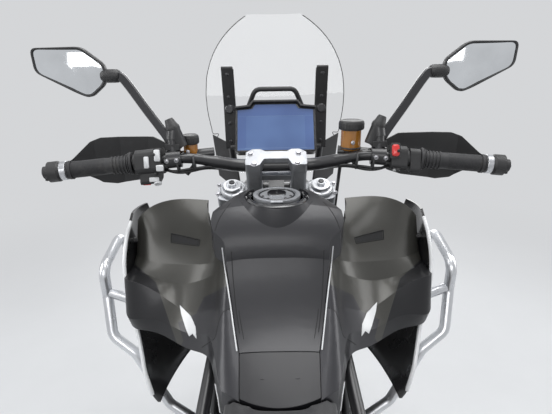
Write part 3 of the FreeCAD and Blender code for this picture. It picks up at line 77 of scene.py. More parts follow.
def make_camera():
    data = bpy.data.cameras.new("camera")
    cam = add(bpy.data.objects.new("camera", data))
    data.sensor_width = 36.0
    data.lens = 36.0 * FOCAL / PHOTO_W
    data.clip_start, data.clip_end = 0.02, 60.0
    pitch, roll = math.radians(19.5), math.radians(-0.9)
    turn = Matrix.Rotation(math.pi / 2 - pitch, 4, "X") @ Matrix.Rotation(roll, 4, "Z")
    cam.matrix_world = Matrix.Translation((-0.002, -0.5287, 1.4133)) @ turn
    bpy.context.scene.camera = cam
    return cam.matrix_world.copy()


VIEW = make_camera()


# Light and backdrop

for name, place, aim, size, power in (
        ("over", (0.3, 0.5, 4.0), (0, 0.2, 0.9), (2.6, 2.6), 105),
        ("left", (-3.4, -0.4, 2.6), (0, 0.2, 0.8), (1.2, 2.8), 52),
        ("right", (3.4, 0.6, 2.4), (0, 0.1, 0.8), (1.2, 2.8), 46),
        ("ahead", (0.2, 4.4, 2.4), (0, 0.4, 0.8), (3.2, 1.6), 50),
        ("behind", (-0.6, -3.8, 2.8), (0, -0.2, 0.8), (2.6, 1.4), 42)):
    area = bpy.data.lights.new(name, "AREA")
    area.shape, area.size, area.size_y = "RECTANGLE", size[0], size[1]
    area.energy = power
    lamp = add(bpy.data.objects.new(name, area))
    lamp.location = place
    lamp.rotation_euler = (Vector(aim) - Vector(place)).to_track_quat("-Z", "Y").to_euler()


def node(tree, kind, inputs, **settings):
    """Adds a shader node; each input gets a constant, or the output that feeds it."""
    made = tree.nodes.new("ShaderNode" + kind)
    for key, value in settings.items():
        setattr(made, key, value)
    for key, value in inputs.items():
        if isinstance(value, bpy.types.NodeSocket):
            tree.links.new(value, made.inputs[key])
        else:
            made.inputs[key].default_value = value
    return made


def calc(tree, operation, a, b=0.0):
    return node(tree, "Math", {0: a, 1: b}, operation=operation).outputs[0]


def seen_rays(tree):
    """One where the camera, a gloss reflection or a look through glass meets the surface."""
    path = node(tree, "LightPath", {}).outputs
    total = path["Is Camera Ray"]
    for key in ("Is Glossy Ray", "Is Transmission Ray"):
        total = node(tree, "Math", {0: total, 1: path[key]}, operation="ADD", use_clamp=True).outputs[0]
    return total


def mix_shaders(tree, fac, first, second, out):
    """Mixes two shaders and sends them to the output node's first socket."""
    mixed = node(tree, "MixShader", {0: fac, 1: first.outputs[0], 2: second.outputs[0]})
    tree.links.new(mixed.outputs[0], out.inputs[0])


def backdrop():
    world = bpy.data.worlds.new("world")
    SCENE.world = world
    world.use_nodes = True
    tree = world.node_tree
    tree.nodes.clear()
    lit = node(tree, "Background", {0: SKY, 1: 0.40})
    seen = node(tree, "Background", {0: BACK, 1: 1.0})
    mix_shaders(tree, seen_rays(tree), lit, seen, node(tree, "OutputWorld", {}))


backdrop()


# Materials

class Mat:
    """A Principled material that is built up by noise-driven colour, roughness and bump."""

    def __init__(self, name, colour, rough=0.5, metal=0.0, **extra):
        self.mat = bpy.data.materials.new(name)
        self.mat.use_nodes = True
        self.tree = self.mat.node_tree
        self.b = self.tree.nodes["Principled BSDF"]
        values = {"Base Color": (*colour, 1), "Roughness": rough, "Metallic": metal, **extra}
        for key, value in values.items():
            self.b.inputs[key.replace("_", " ")].default_value = value
        self.colour, self.rough = colour, rough
        self.coord = node(self.tree, "TexCoord", {}).outputs["Object"]
        self.height = None

    def put(self, output, key):
        self.tree.links.new(output, self.b.inputs[key])
        return self

    def edges(self, radius=1.2):
        """Rounds the shading of sharp edges; the radius is in millimetres."""
        self.height = node(self.tree, "Bevel", {"Radius": radius * MM}, samples=4).outputs[0]
        return self.put(self.height, "Normal")

    def noise(self, scale, detail=4.0, rough=0.6, stretch=None):
        where = self.coord
        if stretch:
            where = node(self.tree, "Mapping", {0: where, "Scale": stretch}).outputs[0]
        inputs = {"Scale": scale, "Detail": detail, "Roughness": rough, "Vector": where}
        return node(self.tree, "TexNoise", inputs).outputs["Fac"]

    def voronoi(self, scale, feature="F1"):
        inputs = {"Scale": scale, "Vector": self.coord}
        return node(self.tree, "TexVoronoi", inputs, feature=feature).outputs["Distance"]

    def ramp(self, fac, low, high):
        """A colour that goes from one place, colour pair to another."""
        made = node(self.tree, "ValToRGB", {0: fac})
        for stop, (place, colour) in zip(made.color_ramp.elements, (low, high)):
            stop.position, stop.color = place, (*colour, 1)
        return made.outputs[0]

    def range(self, fac, low, high):
        return node(self.tree, "MapRange", {0: fac, "To Min": low, "To Max": high}).outputs[0]

    def vary(self, scale=3.0, amount=0.25, rough=0.08):
        """Slow changes of tone and gloss, as dust and handling leave."""
        low = tuple(v * (1 - amount) for v in self.colour)
        high = tuple(min(v * (1 + amount) + 0.004, 1) for v in self.colour)
        self.put(self.ramp(self.noise(scale, 5), (0.3, low), (0.7, high)), "Base Color")
        spots = self.noise(scale * 9, 6)
        gloss = self.range(spots, max(self.rough - rough, 0.02), min(self.rough + rough, 1))
        return self.put(gloss, "Roughness")

    def bump(self, fac, strength, distance=0.001):
        under = {} if self.height is None else {"Normal": self.height}
        inputs = {"Strength": strength, "Distance": distance, "Height": fac, **under}
        self.height = node(self.tree, "Bump", inputs).outputs[0]
        return self.put(self.height, "Normal")

    def speck(self, colour, scale, low, high):
        """Scatters a second tone, such as dust, over the material's colour."""
        tint(self.tree, self.ramp(self.noise(scale, 8, 0.75), (low, (0, 0, 0)), (high, (1, 1, 1))), colour)
        return self


def tint(tree, fac, colour):
    """Lays a second colour over the material's own, as far as fac says."""
    sock = tree.nodes["Principled BSDF"].inputs["Base Color"]
    inputs = {"Factor": fac, "A": sock.links[0].from_socket, "B": (*colour, 1)}
    tree.links.new(node(tree, "Mix", inputs, data_type="RGBA").outputs["Result"], sock)


def times(colour, factor, more=0.0):
    return tuple(c * factor + more for c in colour)


def plastic(name, colour, rough=0.55):
    m = Mat(name, colour, rough).edges(1.0).vary(4, 0.22, 0.07)
    return m.bump(m.voronoi(900), 0.16, 0.0006).speck(times(colour, 1.9, 0.006), 26, 0.56, 0.8).mat


def rubber(name, colour, rough=0.75):
    m = Mat(name, colour, rough).vary(7, 0.25, 0.06)
    return m.bump(m.noise(700, 5, 0.7), 0.3, 0.0006).speck((0.06, 0.057, 0.052), 14, 0.52, 0.78).mat


def paint(name, colour, rough=0.3, coat=0.6, metal=0.0):
    m = Mat(name, colour, rough, metal, Coat_Weight=coat, Coat_Roughness=0.08)
    m.edges(1.2).vary(2.2, 0.12, 0.05)
    return m.bump(m.noise(420, 2), 0.03, 0.0005).mat


def metallic(name, colour, rough=0.34, coat=0.35, flake=0.55):
    """A metallic lacquer whose flakes change tone by a little."""
    m = Mat(name, colour, rough, flake, Coat_Weight=coat, Coat_Roughness=0.16)
    m.edges(1.6).vary(1.6, 0.1, 0.04).speck(times(colour, 1.35), 1500, 0.5, 0.72)
    return m.bump(m.noise(1300, 2), 0.05, 0.0003).mat


def metal(name, colour, rough=0.35, grain=(1, 1, 1), scale=160.0, strength=0.021):
    m = Mat(name, colour, rough, 1.0).edges(0.8).vary(6, 0.14, 0.1)
    return m.bump(m.noise(scale, 3, 0.5, grain), strength, 0.0006).mat


def cast(name, colour, rough=0.5, metal=0.85):
    m = Mat(name, colour, rough, metal).edges(1.6).vary(5, 0.2, 0.1)
    return m.bump(m.noise(520, 5, 0.7), 0.22, 0.0008).speck(times(colour, 0.55), 18, 0.5, 0.75).mat


def vinyl(name, colour, rough=0.55):
    """Seat cover: leather-like cells over slow wrinkles, paler where it is rubbed."""
    m = Mat(name, colour, rough, 0.0, Sheen_Weight=0.15, Sheen_Roughness=0.4).vary(5, 0.3, 0.08)
    m.bump(m.voronoi(420, "SMOOTH_F1"), 0.42, 0.0007)
    m.bump(m.noise(34, 4, 0.6), 0.12, 0.002)
    return m.speck(times(colour, 1.8, 0.008), 9, 0.5, 0.85).mat


def glow(name, low, high):
    """A lit screen: a slow blue change across it, in a dark glossy glass."""
    m = Mat(name, low, 0.12, 0.0, Coat_Weight=1.0, Coat_Roughness=0.03, Emission_Strength=0.42)
    colour = m.ramp(m.noise(7, 2), (0.25, low), (0.75, high))
    return m.put(colour, "Base Color").put(colour, "Emission Color").mat


def clear(name, colour, rough, mix):
    """Thin clear sheet: mostly see-through, with gloss at grazing angles."""
    m = Mat(name, colour, rough, 0.0, IOR=1.49, Transmission_Weight=1.0)
    m.bump(m.noise(3, 2), 0.02, 0.001)
    part = m.range(m.noise(2, 2), mix * 0.85, mix * 1.15)
    mix_shaders(m.tree, part, node(m.tree, "BsdfTransparent", {}), m.b, m.tree.nodes["Material Output"])
    return m.mat


MAT = {
    "frame_paint": paint("satin_black", (0.018, 0.018, 0.02), 0.36, 0.25),
    "engine_alloy": cast("engine_grey", (0.085, 0.085, 0.09), 0.5),
    "cast_alloy": cast("cast_alloy", (0.40, 0.41, 0.43), 0.46),
    "bare_alloy": metal("bare_alloy", (0.72, 0.73, 0.75), 0.28, (1, 6, 1), 220),
    "steel_tube": metal("bar_steel", (0.64, 0.65, 0.67), 0.3, (1, 1, 1), 300, 0.0175),
    "exhaust_steel": metal("exhaust_steel", (0.42, 0.37, 0.31), 0.34, (1, 1, 5), 180),
    "fork_gold": paint("fork_black", (0.02, 0.02, 0.022), 0.25, 0.5, 0.4),
    "tank_paint": metallic("tank_khaki", (0.046, 0.045, 0.040), 0.40, 0.25, 0.45),
    "console_black": metallic("console_grey", (0.022, 0.022, 0.025), 0.40, 0.1, 0.2),
    "cowl_white": paint("cowl_pale", (0.78, 0.79, 0.80), 0.28, 0.6),
    "black_plastic": plastic("black_plastic", (0.020, 0.020, 0.021), 0.5),
    "dark_gloss": paint("dark_gloss", (0.012, 0.012, 0.014), 0.10, 0.9),
    "seat_vinyl": vinyl("seat_vinyl", (0.022, 0.022, 0.024)),
    "tyre_rubber": rubber("tyre_rubber", (0.020, 0.020, 0.020)),
    "grip_rubber": rubber("grip_rubber", (0.022, 0.022, 0.024), 0.6),
    "red_lens": paint("red_lens", (0.35, 0.008, 0.008), 0.1, 1.0),
    "amber_pot": paint("amber_pot", (0.42, 0.17, 0.02), 0.14, 0.8),
    "disc_steel": metal("disc_steel", (0.55, 0.55, 0.56), 0.26, (1, 1, 1), 260),
    "display_face": paint("display_housing", (0.016, 0.016, 0.018), 0.3, 0.4),
    "screen_clear": clear("screen_clear", (0.93, 0.95, 0.955), 0.02, 0.04),
    "lamp_lens": clear("lamp_lens", (0.98, 0.98, 0.98), 0.03, 0.4),
    "mirror_face": metal("mirror_face", (0.75, 0.77, 0.79), 0.04, (1, 1, 1), 4, 0.0),
    "dark_bar": paint("dark_bar", (0.03, 0.03, 0.033), 0.32, 0.4, 0.5),
    "screw": metal("screw_steel", (0.45, 0.45, 0.47), 0.36, (1, 1, 1), 400),
    "dark_screw": metal("dark_screw", (0.07, 0.07, 0.075), 0.4, (1, 1, 1), 400),
    "silver": metal("machined_alloy", (0.52, 0.53, 0.55), 0.34, (1, 1, 8), 260, 0.0105),
    "white_key": paint("white_key", (0.70, 0.71, 0.72), 0.35, 0.3),
    "red_key": paint("red_key", (0.62, 0.02, 0.018), 0.3, 0.5),
    # Painted shade: a near-black finish for strips and patches that stand in for the shade in grooves, panel
    # gaps and vent openings, and for the dark line along the screen's edge
    "seam": plastic("seam_shadow", (0.006, 0.006, 0.007), 0.8),
    "screen_glow": glow("screen_glow", (0.030, 0.060, 0.16), (0.070, 0.125, 0.27)),
    "screen_dim": glow("screen_dim", (0.028, 0.055, 0.16), (0.055, 0.10, 0.24)),
    "screen_lit": glow("screen_lit", (0.05, 0.09, 0.2), (0.13, 0.20, 0.36)),
    "orange_lens": paint("orange_lens", (0.62, 0.17, 0.01), 0.12, 1.0),
    "lamp_glass": clear("lamp_glass", (0.90, 0.93, 0.95), 0.03, 0.35),
    "thread": plastic("stitch_thread", (0.10, 0.10, 0.105), 0.8),
}

# The material slot of each node, apart from the few that look better in another one
FINISH = {s["node"]: s["material_slot"] for s in frame["record"]["subparts"]}
FINISH.update(bar_clamp="cast_alloy", fork_yokes="cast_alloy", headlamp="dark_gloss",
              turn_signals="dark_gloss")
for name, obj in NODES.items():
    mesh = obj.data
    mesh.materials.clear()
    mesh.materials.append(MAT[FINISH[name]])
    mesh.polygons.foreach_set("use_smooth", [True] * len(mesh.polygons))
    mesh.set_sharp_from_angle(angle=math.radians(28))
    obj.modifiers.new("normals", "WEIGHTED_NORMAL").keep_sharp = True


# Shapes: every point below is in millimetres, in the CAD frame

def basis(way):
    """Two directions square to way."""
    way = Vector(way).normalized()
    u = way.cross(V(0, 0, 1) if abs(way.z) < 0.9 else V(1, 0, 0)).normalized()
    return u, way.cross(u)


def on_wheel(axle, x, r, t):
    """A place on a wheel: x across, r from the axle, t round it from the top."""
    return Vector(axle) + V(x, r * math.sin(t), r * math.cos(t))


def turns(n, shift=0.0):
    return [math.tau * (i + shift) / n for i in range(n)]


def around(way, n):
    """Unit vectors square to way, at n even turns."""
    u, v = basis(way)
    return [u * math.cos(t) + v * math.sin(t) for t in turns(n)]


def level(t):
    """The level direction at an angle from the x axis."""
    return V(math.cos(t), math.sin(t), 0)


def mirrored(side, points):
    """The points as given for side 1, and across the machine for side -1."""
    return [V(side * x, y, z) for x, y, z in points]


def heading(points, i):
    """The direction of a line of points at one of them."""
    return (points[min(i + 1, len(points) - 1)] - points[max(i - 1, 0)]).normalized()


class Shape:
    """Collects closed forms and makes one piece of them."""

    def __init__(self):
        self.bm = bmesh.new()

    def strips(self, rings, shut=False):
        """Bands of faces between rings, and from the last back to the first if it is shut."""
        rows = [[self.bm.verts.new(Vector(p) * MM) for p in ring] for ring in rings]
        n = len(rows[0])
        for a, b in zip(rows, rows[1:] + rows[:1] if shut else rows[1:]):
            for i in range(n):
                self.bm.faces.new((a[i], a[(i + 1) % n], b[(i + 1) % n], b[i]))
        return rows

    def skin(self, rings, caps=True):
        rows = self.strips(rings)
        if caps:
            self.bm.faces.new(rows[0][::-1])
            self.bm.faces.new(rows[-1])
        return self

    def lathe(self, at, way, profile, steps=24):
        """A turned form: profile rows are radius, distance along way."""
        at, way = Vector(at), Vector(way).normalized()
        ring = around(way, steps)
        return self.skin([[at + way * along + out * radius for out in ring] for radius, along in profile])

    def bolt(self, at, way, r=5.0, h=4.0, socket=True):
        """A screw head with its hexagon socket, on a thin washer."""
        at, way = Vector(at), Vector(way).normalized()
        self.lathe(at, way, [(r * 1.35, -0.4), (r * 1.35, 0.9)], 20)
        if socket:
            self.lathe(at, way, [(r, 0.8), (r, h - 0.6), (r - 0.6, h), (r * 0.55, h)], 20)
            self.skin([[at + way * (h - deep) + out * r * wide for out in around(way, 6)]
                       for deep, wide in ((0, 0.55), (1.4, 0.5))])
        else:
            self.lathe(at, way, [(r, 0.8), (r, h - 0.8), (r - 0.8, h)], 6)
        return self

    def prism(self, points, along):
        along = Vector(along)
        return self.skin([points, [Vector(p) + along for p in points]])

    def revolve(self, axle, outline, steps):
        """A closed outline of x, radius pairs, turned right round the wheel's axle."""
        self.strips([[on_wheel(axle, x, r, t) for x, r in outline] for t in turns(steps)], True)

    def block(self, at, size, x=(1, 0, 0), y=(0, 1, 0)):
        at, x, y = Vector(at), Vector(x).normalized(), Vector(y).normalized()
        z = x.cross(y)
        a, b, c = (s / 2 for s in size)
        foot = [at + x * i * a + y * j * b - z * c for i, j in ((-1, -1), (1, -1), (1, 1), (-1, 1))]
        return self.prism(foot, z * 2 * c)

    def rod(self, points, r, steps=10):
        """A round bar that bends smoothly through its points."""
        pts = smooth_line(points)
        rings, side = [], None
        for i, p in enumerate(pts):
            way = heading(pts, i)
            u = basis(way)[0] if side is None else (side - way * side.dot(way)).normalized()
            side, v = u, way.cross(u)
            rings.append([p + (u * math.cos(t) + v * math.sin(t)) * r for t in turns(steps)])
        return self.skin(rings)

    def bead(self, hits, w, h, sink=0.6):
        """A low strip that follows points on a surface; hits are point, normal."""
        rings, line = [], [p for p, _ in hits]
        for i, (p, normal) in enumerate(hits):
            side = heading(line, i).cross(normal).normalized()
            rings.append([p + side * a * w + normal * b for a, b in
                          ((-0.5, -sink), (-0.5, 0.3 * h), (-0.25, h), (0.25, h), (0.5, 0.3 * h),
                           (0.5, -sink))])
        return self.skin(rings)

    def sheet(self, hits, faces, thick):
        """A thin patch that lies on a surface."""
        low = [self.bm.verts.new((p - n * 0.5) * MM) for p, n in hits]
        top = [self.bm.verts.new((p + n * thick) * MM) for p, n in hits]
        edges = {}
        for f in faces:
            self.bm.faces.new([top[i] for i in f])
            self.bm.faces.new([low[i] for i in reversed(f)])
            edges.update(dict.fromkeys(zip(f, f[1:] + f[:1])))
        for a, b in edges:
            if (b, a) not in edges:
                self.bm.faces.new((top[b], top[a], low[a], low[b]))
        return self

    def make(self, name, mat, body="chassis", slot=None, bevel=0.0, angle=32):
        """Makes the piece, with the finish of MAT[mat], and lets it ride a body."""
        bmesh.ops.recalc_face_normals(self.bm, faces=self.bm.faces)
        mesh = bpy.data.meshes.new(name)
        self.bm.to_mesh(mesh)
        self.bm.free()
        obj = add(bpy.data.objects.new(name, mesh))
        mesh.polygons.foreach_set("use_smooth", [True] * len(mesh.polygons))
        mesh.set_sharp_from_angle(angle=math.radians(angle))
        mesh.materials.append(MAT[mat])
        if bevel:
            mod = obj.modifiers.new("edge", "BEVEL")
            mod.width, mod.segments, mod.limit_method = bevel * MM, 2, "ANGLE"
            mod.angle_limit = math.radians(angle)
        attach(obj, body)
        return obj


def shapes(n):
    return [Shape() for _ in range(n)]


def smooth_line(points, steps=6):
    """Points along a Catmull-Rom line through the given ones."""
    p = [Vector(q) for q in points]
    if len(p) < 3:
        return p
    p = [p[0] * 2 - p[1]] + p + [p[-1] * 2 - p[-2]]
    out = []
    for a, b, c, d in zip(p, p[1:], p[2:], p[3:]):
        for i in range(steps):
            t = i / steps
            out.append(0.5 * (2 * b + (c - a) * t + (2 * a - 5 * b + 4 * c - d) * t * t
                              + (3 * b - a - 3 * c + d) * t ** 3))
    return out + [p[-2]]


# Places found by looking through the photograph's pixels at the CAD surfaces

def tree_of(*names):
    verts, faces = [], []
    for name in names:
        mesh = NODES[name].data
        base = len(verts)
        verts += [v.co.copy() for v in mesh.vertices]
        faces += [[base + i for i in p.vertices] for p in mesh.polygons]
    return BVHTree.FromPolygons(verts, faces)


def meet(tree, at, way):
    """The first surface point from a place outside, looking along way, and the normal towards it."""
    way = Vector(way).normalized()
    point, normal, _, _ = tree.ray_cast(Vector(at) * MM, way)
    return (point * 1000, normal if normal.dot(way) < 0 else -normal) if point else None


def look(px, py):
    """The direction in which the camera sees a pixel of the photograph."""
    return (VIEW.to_3x3() @ V((px - MID_PX) / FOCAL, -(py - MID_PY) / FOCAL, -1.0)).normalized()


def pixel_at(px, py, y):
    """Where a pixel's line of sight meets the plane across the machine at y."""
    way = look(px, py)
    return (VIEW.translation + way * ((y * MM - VIEW.translation.y) / way.y)) * 1000


def through(tree, px, py):
    """The surface point and normal that a pixel of the photograph shows, in millimetres."""
    way = look(px, py)
    point, normal, _, _ = tree.ray_cast(VIEW.translation, way)
    if point is None:
        near = min((tree.find_nearest(VIEW.translation + way * 0.02 * i) for i in range(20, 75)),
                   key=lambda f: f[3])
        if near[3] > 0.03:
            return None
        point, normal = near[0], near[1]
    if normal.dot(way) > 0:
        normal = -normal
    return point * 1000, normal


def trace(tree, pixels, steps=7):
    """A line of surface points under a line of pixels."""
    out = []
    for p in smooth_line([(x, y, 0) for x, y in pixels], steps):
        hit = through(tree, p.x, p.y)
        if hit and (not out or (hit[0] - out[-1][0]).length < 60):
            out.append(hit)
    for _ in range(2):
        out = [out[0]] + [((a[0] + b[0] * 2 + c[0]) / 4, (a[1] + b[1] * 2 + c[1]).normalized())
                          for a, b, c in zip(out, out[1:], out[2:])] + [out[-1]]
    return out


def patch(tree, pixels, step=3.0):
    """A filled outline of pixels as surface points and triangles."""
    xs, ys = zip(*pixels)
    verts = []
    for (x, y), (x2, y2) in zip(pixels, pixels[1:] + pixels[:1]):
        k = max(1, round(math.hypot(x2 - x, y2 - y) / step))
        verts += [Vector((x + (x2 - x) * j / k, y + (y2 - y) * j / k)) for j in range(k)]
    rim = len(verts)
    x = min(xs) + step / 2
    while x < max(xs):
        y = min(ys) + step / 2
        while y < max(ys):
            if all((Vector((x, y)) - v).length > step * 0.6 for v in verts[:rim]):
                verts.append(Vector((x, y)))
            y += step
        x += step
    edges = [(i, (i + 1) % rim) for i in range(rim)]
    co, _, faces, _, _, _ = delaunay_2d_cdt(verts, edges, [list(range(rim))], 2, 1e-4)
    hits = [through(tree, v.x, v.y) for v in co]
    return hits, [list(f) for f in faces if all(hits[i] for i in f)]


# Cockpit: controls, clamp, display and screen

SHOULDER, BAR_END = V(190, 354, 1216), V(467, 322, 1197)
BAR_WAY = (BAR_END - SHOULDER).normalized()
RAKE = math.radians(23.7)
STEER_DIR, STEER_FWD = V(0, -math.sin(RAKE), math.cos(RAKE)), V(0, math.cos(RAKE), math.sin(RAKE))
STEER_FOOT = 913  # where the steering axis meets the floor
FORK_OFF, FORK_X = 36.9, 109


def on_bar(x, back=0.0, up=0.0, side=1):
    """A place beside the bar's straight end; minus side for the left hand."""
    p = SHOULDER + BAR_WAY * ((x - SHOULDER.x) / BAR_WAY.x) + V(0, back, up)
    return V(side * p.x, p.y, p.z)


def bar_way(side):
    return V(BAR_WAY.x * side, BAR_WAY.y, BAR_WAY.z)


def on_steer(u, x=0.0, off=0.0):
    """A place u along the steering axis, off ahead of it."""
    return V(x, STEER_FOOT, 0) + STEER_DIR * u + STEER_FWD * off


def round_rect(at, right, up, w, h, r=2.0, k=4):
    """An outline with round corners in the plane of right and up."""
    pts = []
    for cx, cy, a0 in ((1, 1, 0), (-1, 1, 90), (-1, -1, 180), (1, -1, 270)):
        for i in range(k + 1):
            t = math.radians(a0 + 90 * i / k)
            across, along = cx * (w / 2 - r) + r * math.cos(t), cy * (h / 2 - r) + r * math.sin(t)
            pts.append(at + right * across + up * along)
    return pts


def rounded(shape, at, right, up, out, rows, r, k):
    """A form of round-cornered outlines; rows are distance out, width, height."""
    shape.skin([round_rect(at + out * d, right, up, w, h, r, k) for d, w, h in rows])


def round_poly(points, r, k=5):
    """A closed outline whose corners are drawn in as curves that start r before them."""
    out = []
    for a, b, c in zip(points[-1:] + points[:-1], points, points[1:] + points[:1]):
        a, b, c = Vector(a), Vector(b), Vector(c)
        p, q = b + (a - b).normalized() * r, b + (c - b).normalized() * r
        out += [p * (1 - t) ** 2 + b * 2 * t * (1 - t) + q * t * t for t in (j / k for j in range(k + 1))]
    return out


def key(shape, tree, px, py, w, h, t, r=2.5, crown=0.25):
    """A push key with a drawn-in top, where a pixel of the photograph shows it."""
    hit = through(tree, px, py)
    if not hit:
        return
    at, normal = hit
    right = (V(1, 0, 0) - normal * normal.x).normalized()
    up = normal.cross(right)
    shape.skin([round_rect(at - normal, right, up, w, h, r),
                round_rect(at + normal * t * 0.7, right, up, w, h, r),
                round_rect(at + normal * t, right, up, w - w * crown, h - h * crown, r * 0.7)])


def switches():
    pods = tree_of("switch_pods", "hand_levers")
    white, red, dark, ties = shapes(4)
    for px, py, w, h in ((147, 162.5, 10, 24), (157.5, 155.5, 12, 24),
                         (160.5, 168, 15, 13), (155, 179.5, 20, 10)):
        key(dark, pods, px, py, w + 4, h + 4, 1.2, 3.5, 0.05)
        key(white, pods, px, py, w, h, 4.5)
    white.lathe(*through(pods, 158.5, 187), [(8, -1), (8, 3), (6.5, 4.5), (6, 3.4), (3, 3.4)])
    key(red, pods, 148.5, 186, 17, 9, 5)
    key(dark, pods, 396, 151, 21, 33, 1.2, 5, 0.05)
    key(red, pods, 396, 150.5, 15, 24, 6, 5, 0.35)
    key(dark, pods, 396.5, 170, 18, 15, 1.2, 3, 0.05)
    key(white, pods, 396.5, 170, 13, 10, 4)
    white.make("switch_keys_pale", "white_key", "steering", bevel=0.5)
    red.make("switch_keys_red", "red_key", "steering", bevel=0.5)
    for side in SIDES:
        for up in (19, -22):
            dark.bolt(on_bar(252, -26.5, up, side), (0, -1, 0.2), 2.6, 2.2)
        for r, bar, steer in (
                (3.4, ((243, 8, -20), (222, -2, -27), (196, -6, -30), (150, 10, -30)),
                 ((1274, 98, 14), (1262, 72, 32), (1222, 50, 52), (1188, 40, 58))),
                (2.8, ((243, 2, -22), (214, -12, -24), (180, -6, -24), (140, 8, -28)),
                 ((1268, 88, 22), (1250, 62, 42), (1212, 44, 60), (1186, 34, 62)))):
            dark.rod([on_bar(*p, side) for p in bar] + [on_steer(u, side * x, off) for u, x, off in steer],
                     r, 8)
        for x in (206, 172):
            at = on_bar(x, -2, -14, side) - BAR_WAY * 1.5
            ties.lathe(at, bar_way(side), [(17, 0), (18, 0.4), (18, 3.6), (17, 4)], 28)
    dark.make("switch_wiring", "black_plastic", "steering", bevel=0.4)
    ties.make("wiring_ties", "grip_rubber", "steering")


def bar_ends():
    grips, caps, nuts = shapes(3)
    for side in SIDES:
        way = bar_way(side)
        for i in range(26):
            at = on_bar(358 + i * 2.6, 0, 0, side)
            grips.lathe(at, way, [(16.8, 0), (17.5, 0.5), (17.5, 1.3), (16.8, 1.8)], 28)
        for i in range(3):
            r = 23.2 - i * 1.6
            grips.lathe(on_bar(306 + i * 4, 0, 0, side), way, [(r, -0.8), (r + 0.4, 0.2), (r, 1.2)], 32)
        caps.lathe(on_bar(435.5, 0, 0, side), way, [(18.6, 0), (19.6, 0.8), (19.6, 11), (18.9, 12)], 36)
        nuts.bolt(on_bar(482, 0, 0, side), way, 6, 4)
    grips.make("grip_ribs", "grip_rubber", "steering")
    caps.make("bar_end_sleeves", "silver", "steering")
    nuts.make("bar_end_screws", "screw", "steering")


def clamp_and_forks():
    bolts, tops, dial = shapes(3)
    clamp = tree_of("bar_clamp")
    for px, py in ((254.7, 164.3), (298, 162.9), (251, 154), (299, 153)):
        hit = through(clamp, px, py)
        if hit:
            bolts.bolt(hit[0], STEER_DIR, 6.0, 5)
    for side in SIDES:
        for off in (-13, 22):
            bolts.bolt(on_steer(1191, side * 144, FORK_OFF + off), STEER_DIR, 4.6, 5)
        for x in (209, 229):
            bolts.bolt(on_bar(x, -19, 0, side), (0, -1, 0), 3.6, 4)
        bolts.bolt((165, 365, 1240) if side > 0 else (-190, 365, 1226), (0, -1, 0.1), 3.2, 3)
        at = on_steer(1199, side * FORK_X, FORK_OFF)
        tops.lathe(at, STEER_DIR,
                   [(30.5, -9), (31.2, -8), (31.2, -1), (28, 1.2), (24, 1.4), (23, 4), (23, 9.6),
                    (21.4, 11), (15, 11), (14, 9.4), (10.5, 9.4), (10.5, 17), (9, 18)], 40)
        for out in around(STEER_DIR, 8):
            tops.lathe(at + out * 26.6, STEER_DIR, [(1.7, 0.6), (1.7, 2.0), (1.0, 2.4)], 10)
        dial.lathe(on_steer(1214, side * FORK_X, FORK_OFF), STEER_DIR,
                   [(7.5, 0), (7.5, 4.4), (6.4, 5.6), (2.5, 5.6), (2.2, 4.8)], 8)
    bolts.make("clamp_screws", "screw", "steering", bevel=0.3)
    tops.make("fork_caps", "silver", "steering", bevel=0.3)
    dial.lathe(on_steer(1199), STEER_DIR, [(17, 0), (17.6, 1), (17.6, 3), (12, 4.5), (11, 2)], 30)
    dial.make("fork_adjusters", "dark_bar", "steering", bevel=0.3)


def pots_and_lids():
    lids, pots = shapes(2)
    for c, k, drop in ((V(165, 391, 1255), 1.0, 1.0), (pixel_at(190.5, 139, 391) - UP * 20, 0.70, 0.66)):
        def turn(shape, steps, *profile):
            """A turned form at this pot's width; what is below its middle is shortened."""
            shape.lathe(c, UP, [(r * k, h * drop if h < 0 else h) for r, h in profile], steps)

        turn(pots, 44, (15, -37), (21, -33), (22, -28), (22, 11), (20, 12))
        turn(lids, 44, (22.2, 9), (26.6, 10.5), (27, 12), (27, 26), (25.6, 28.8), (22, 29.9), (20, 29.2),
             (6, 29.4))
        for t in turns(26):
            out = level(t)
            lids.block(c + out * 26.9 * k + UP * 18.5, (1.6, 2.6 * k, 12), out, out.cross(UP))
        low = c - UP * 38 * drop
        lids.block(low + V(0, 6, 0), (15, 26, 5))
        lids.rod([low + V(0, 8, 0), low + V(4, 0, -14), low + V(10 if c.x > 0 else -10, -16, -30)], 5, 10)
        turn(lids, 36, (16.4, -40), (17, -34), (22.4, -31), (22.4, -28), (21.8, -27))
    lids.make("reservoir_lids", "black_plastic", "steering", bevel=0.3)
    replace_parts(pots.make("reservoir_pots", "amber_pot", "steering", "amber_pot", bevel=0.3), "reservoirs")


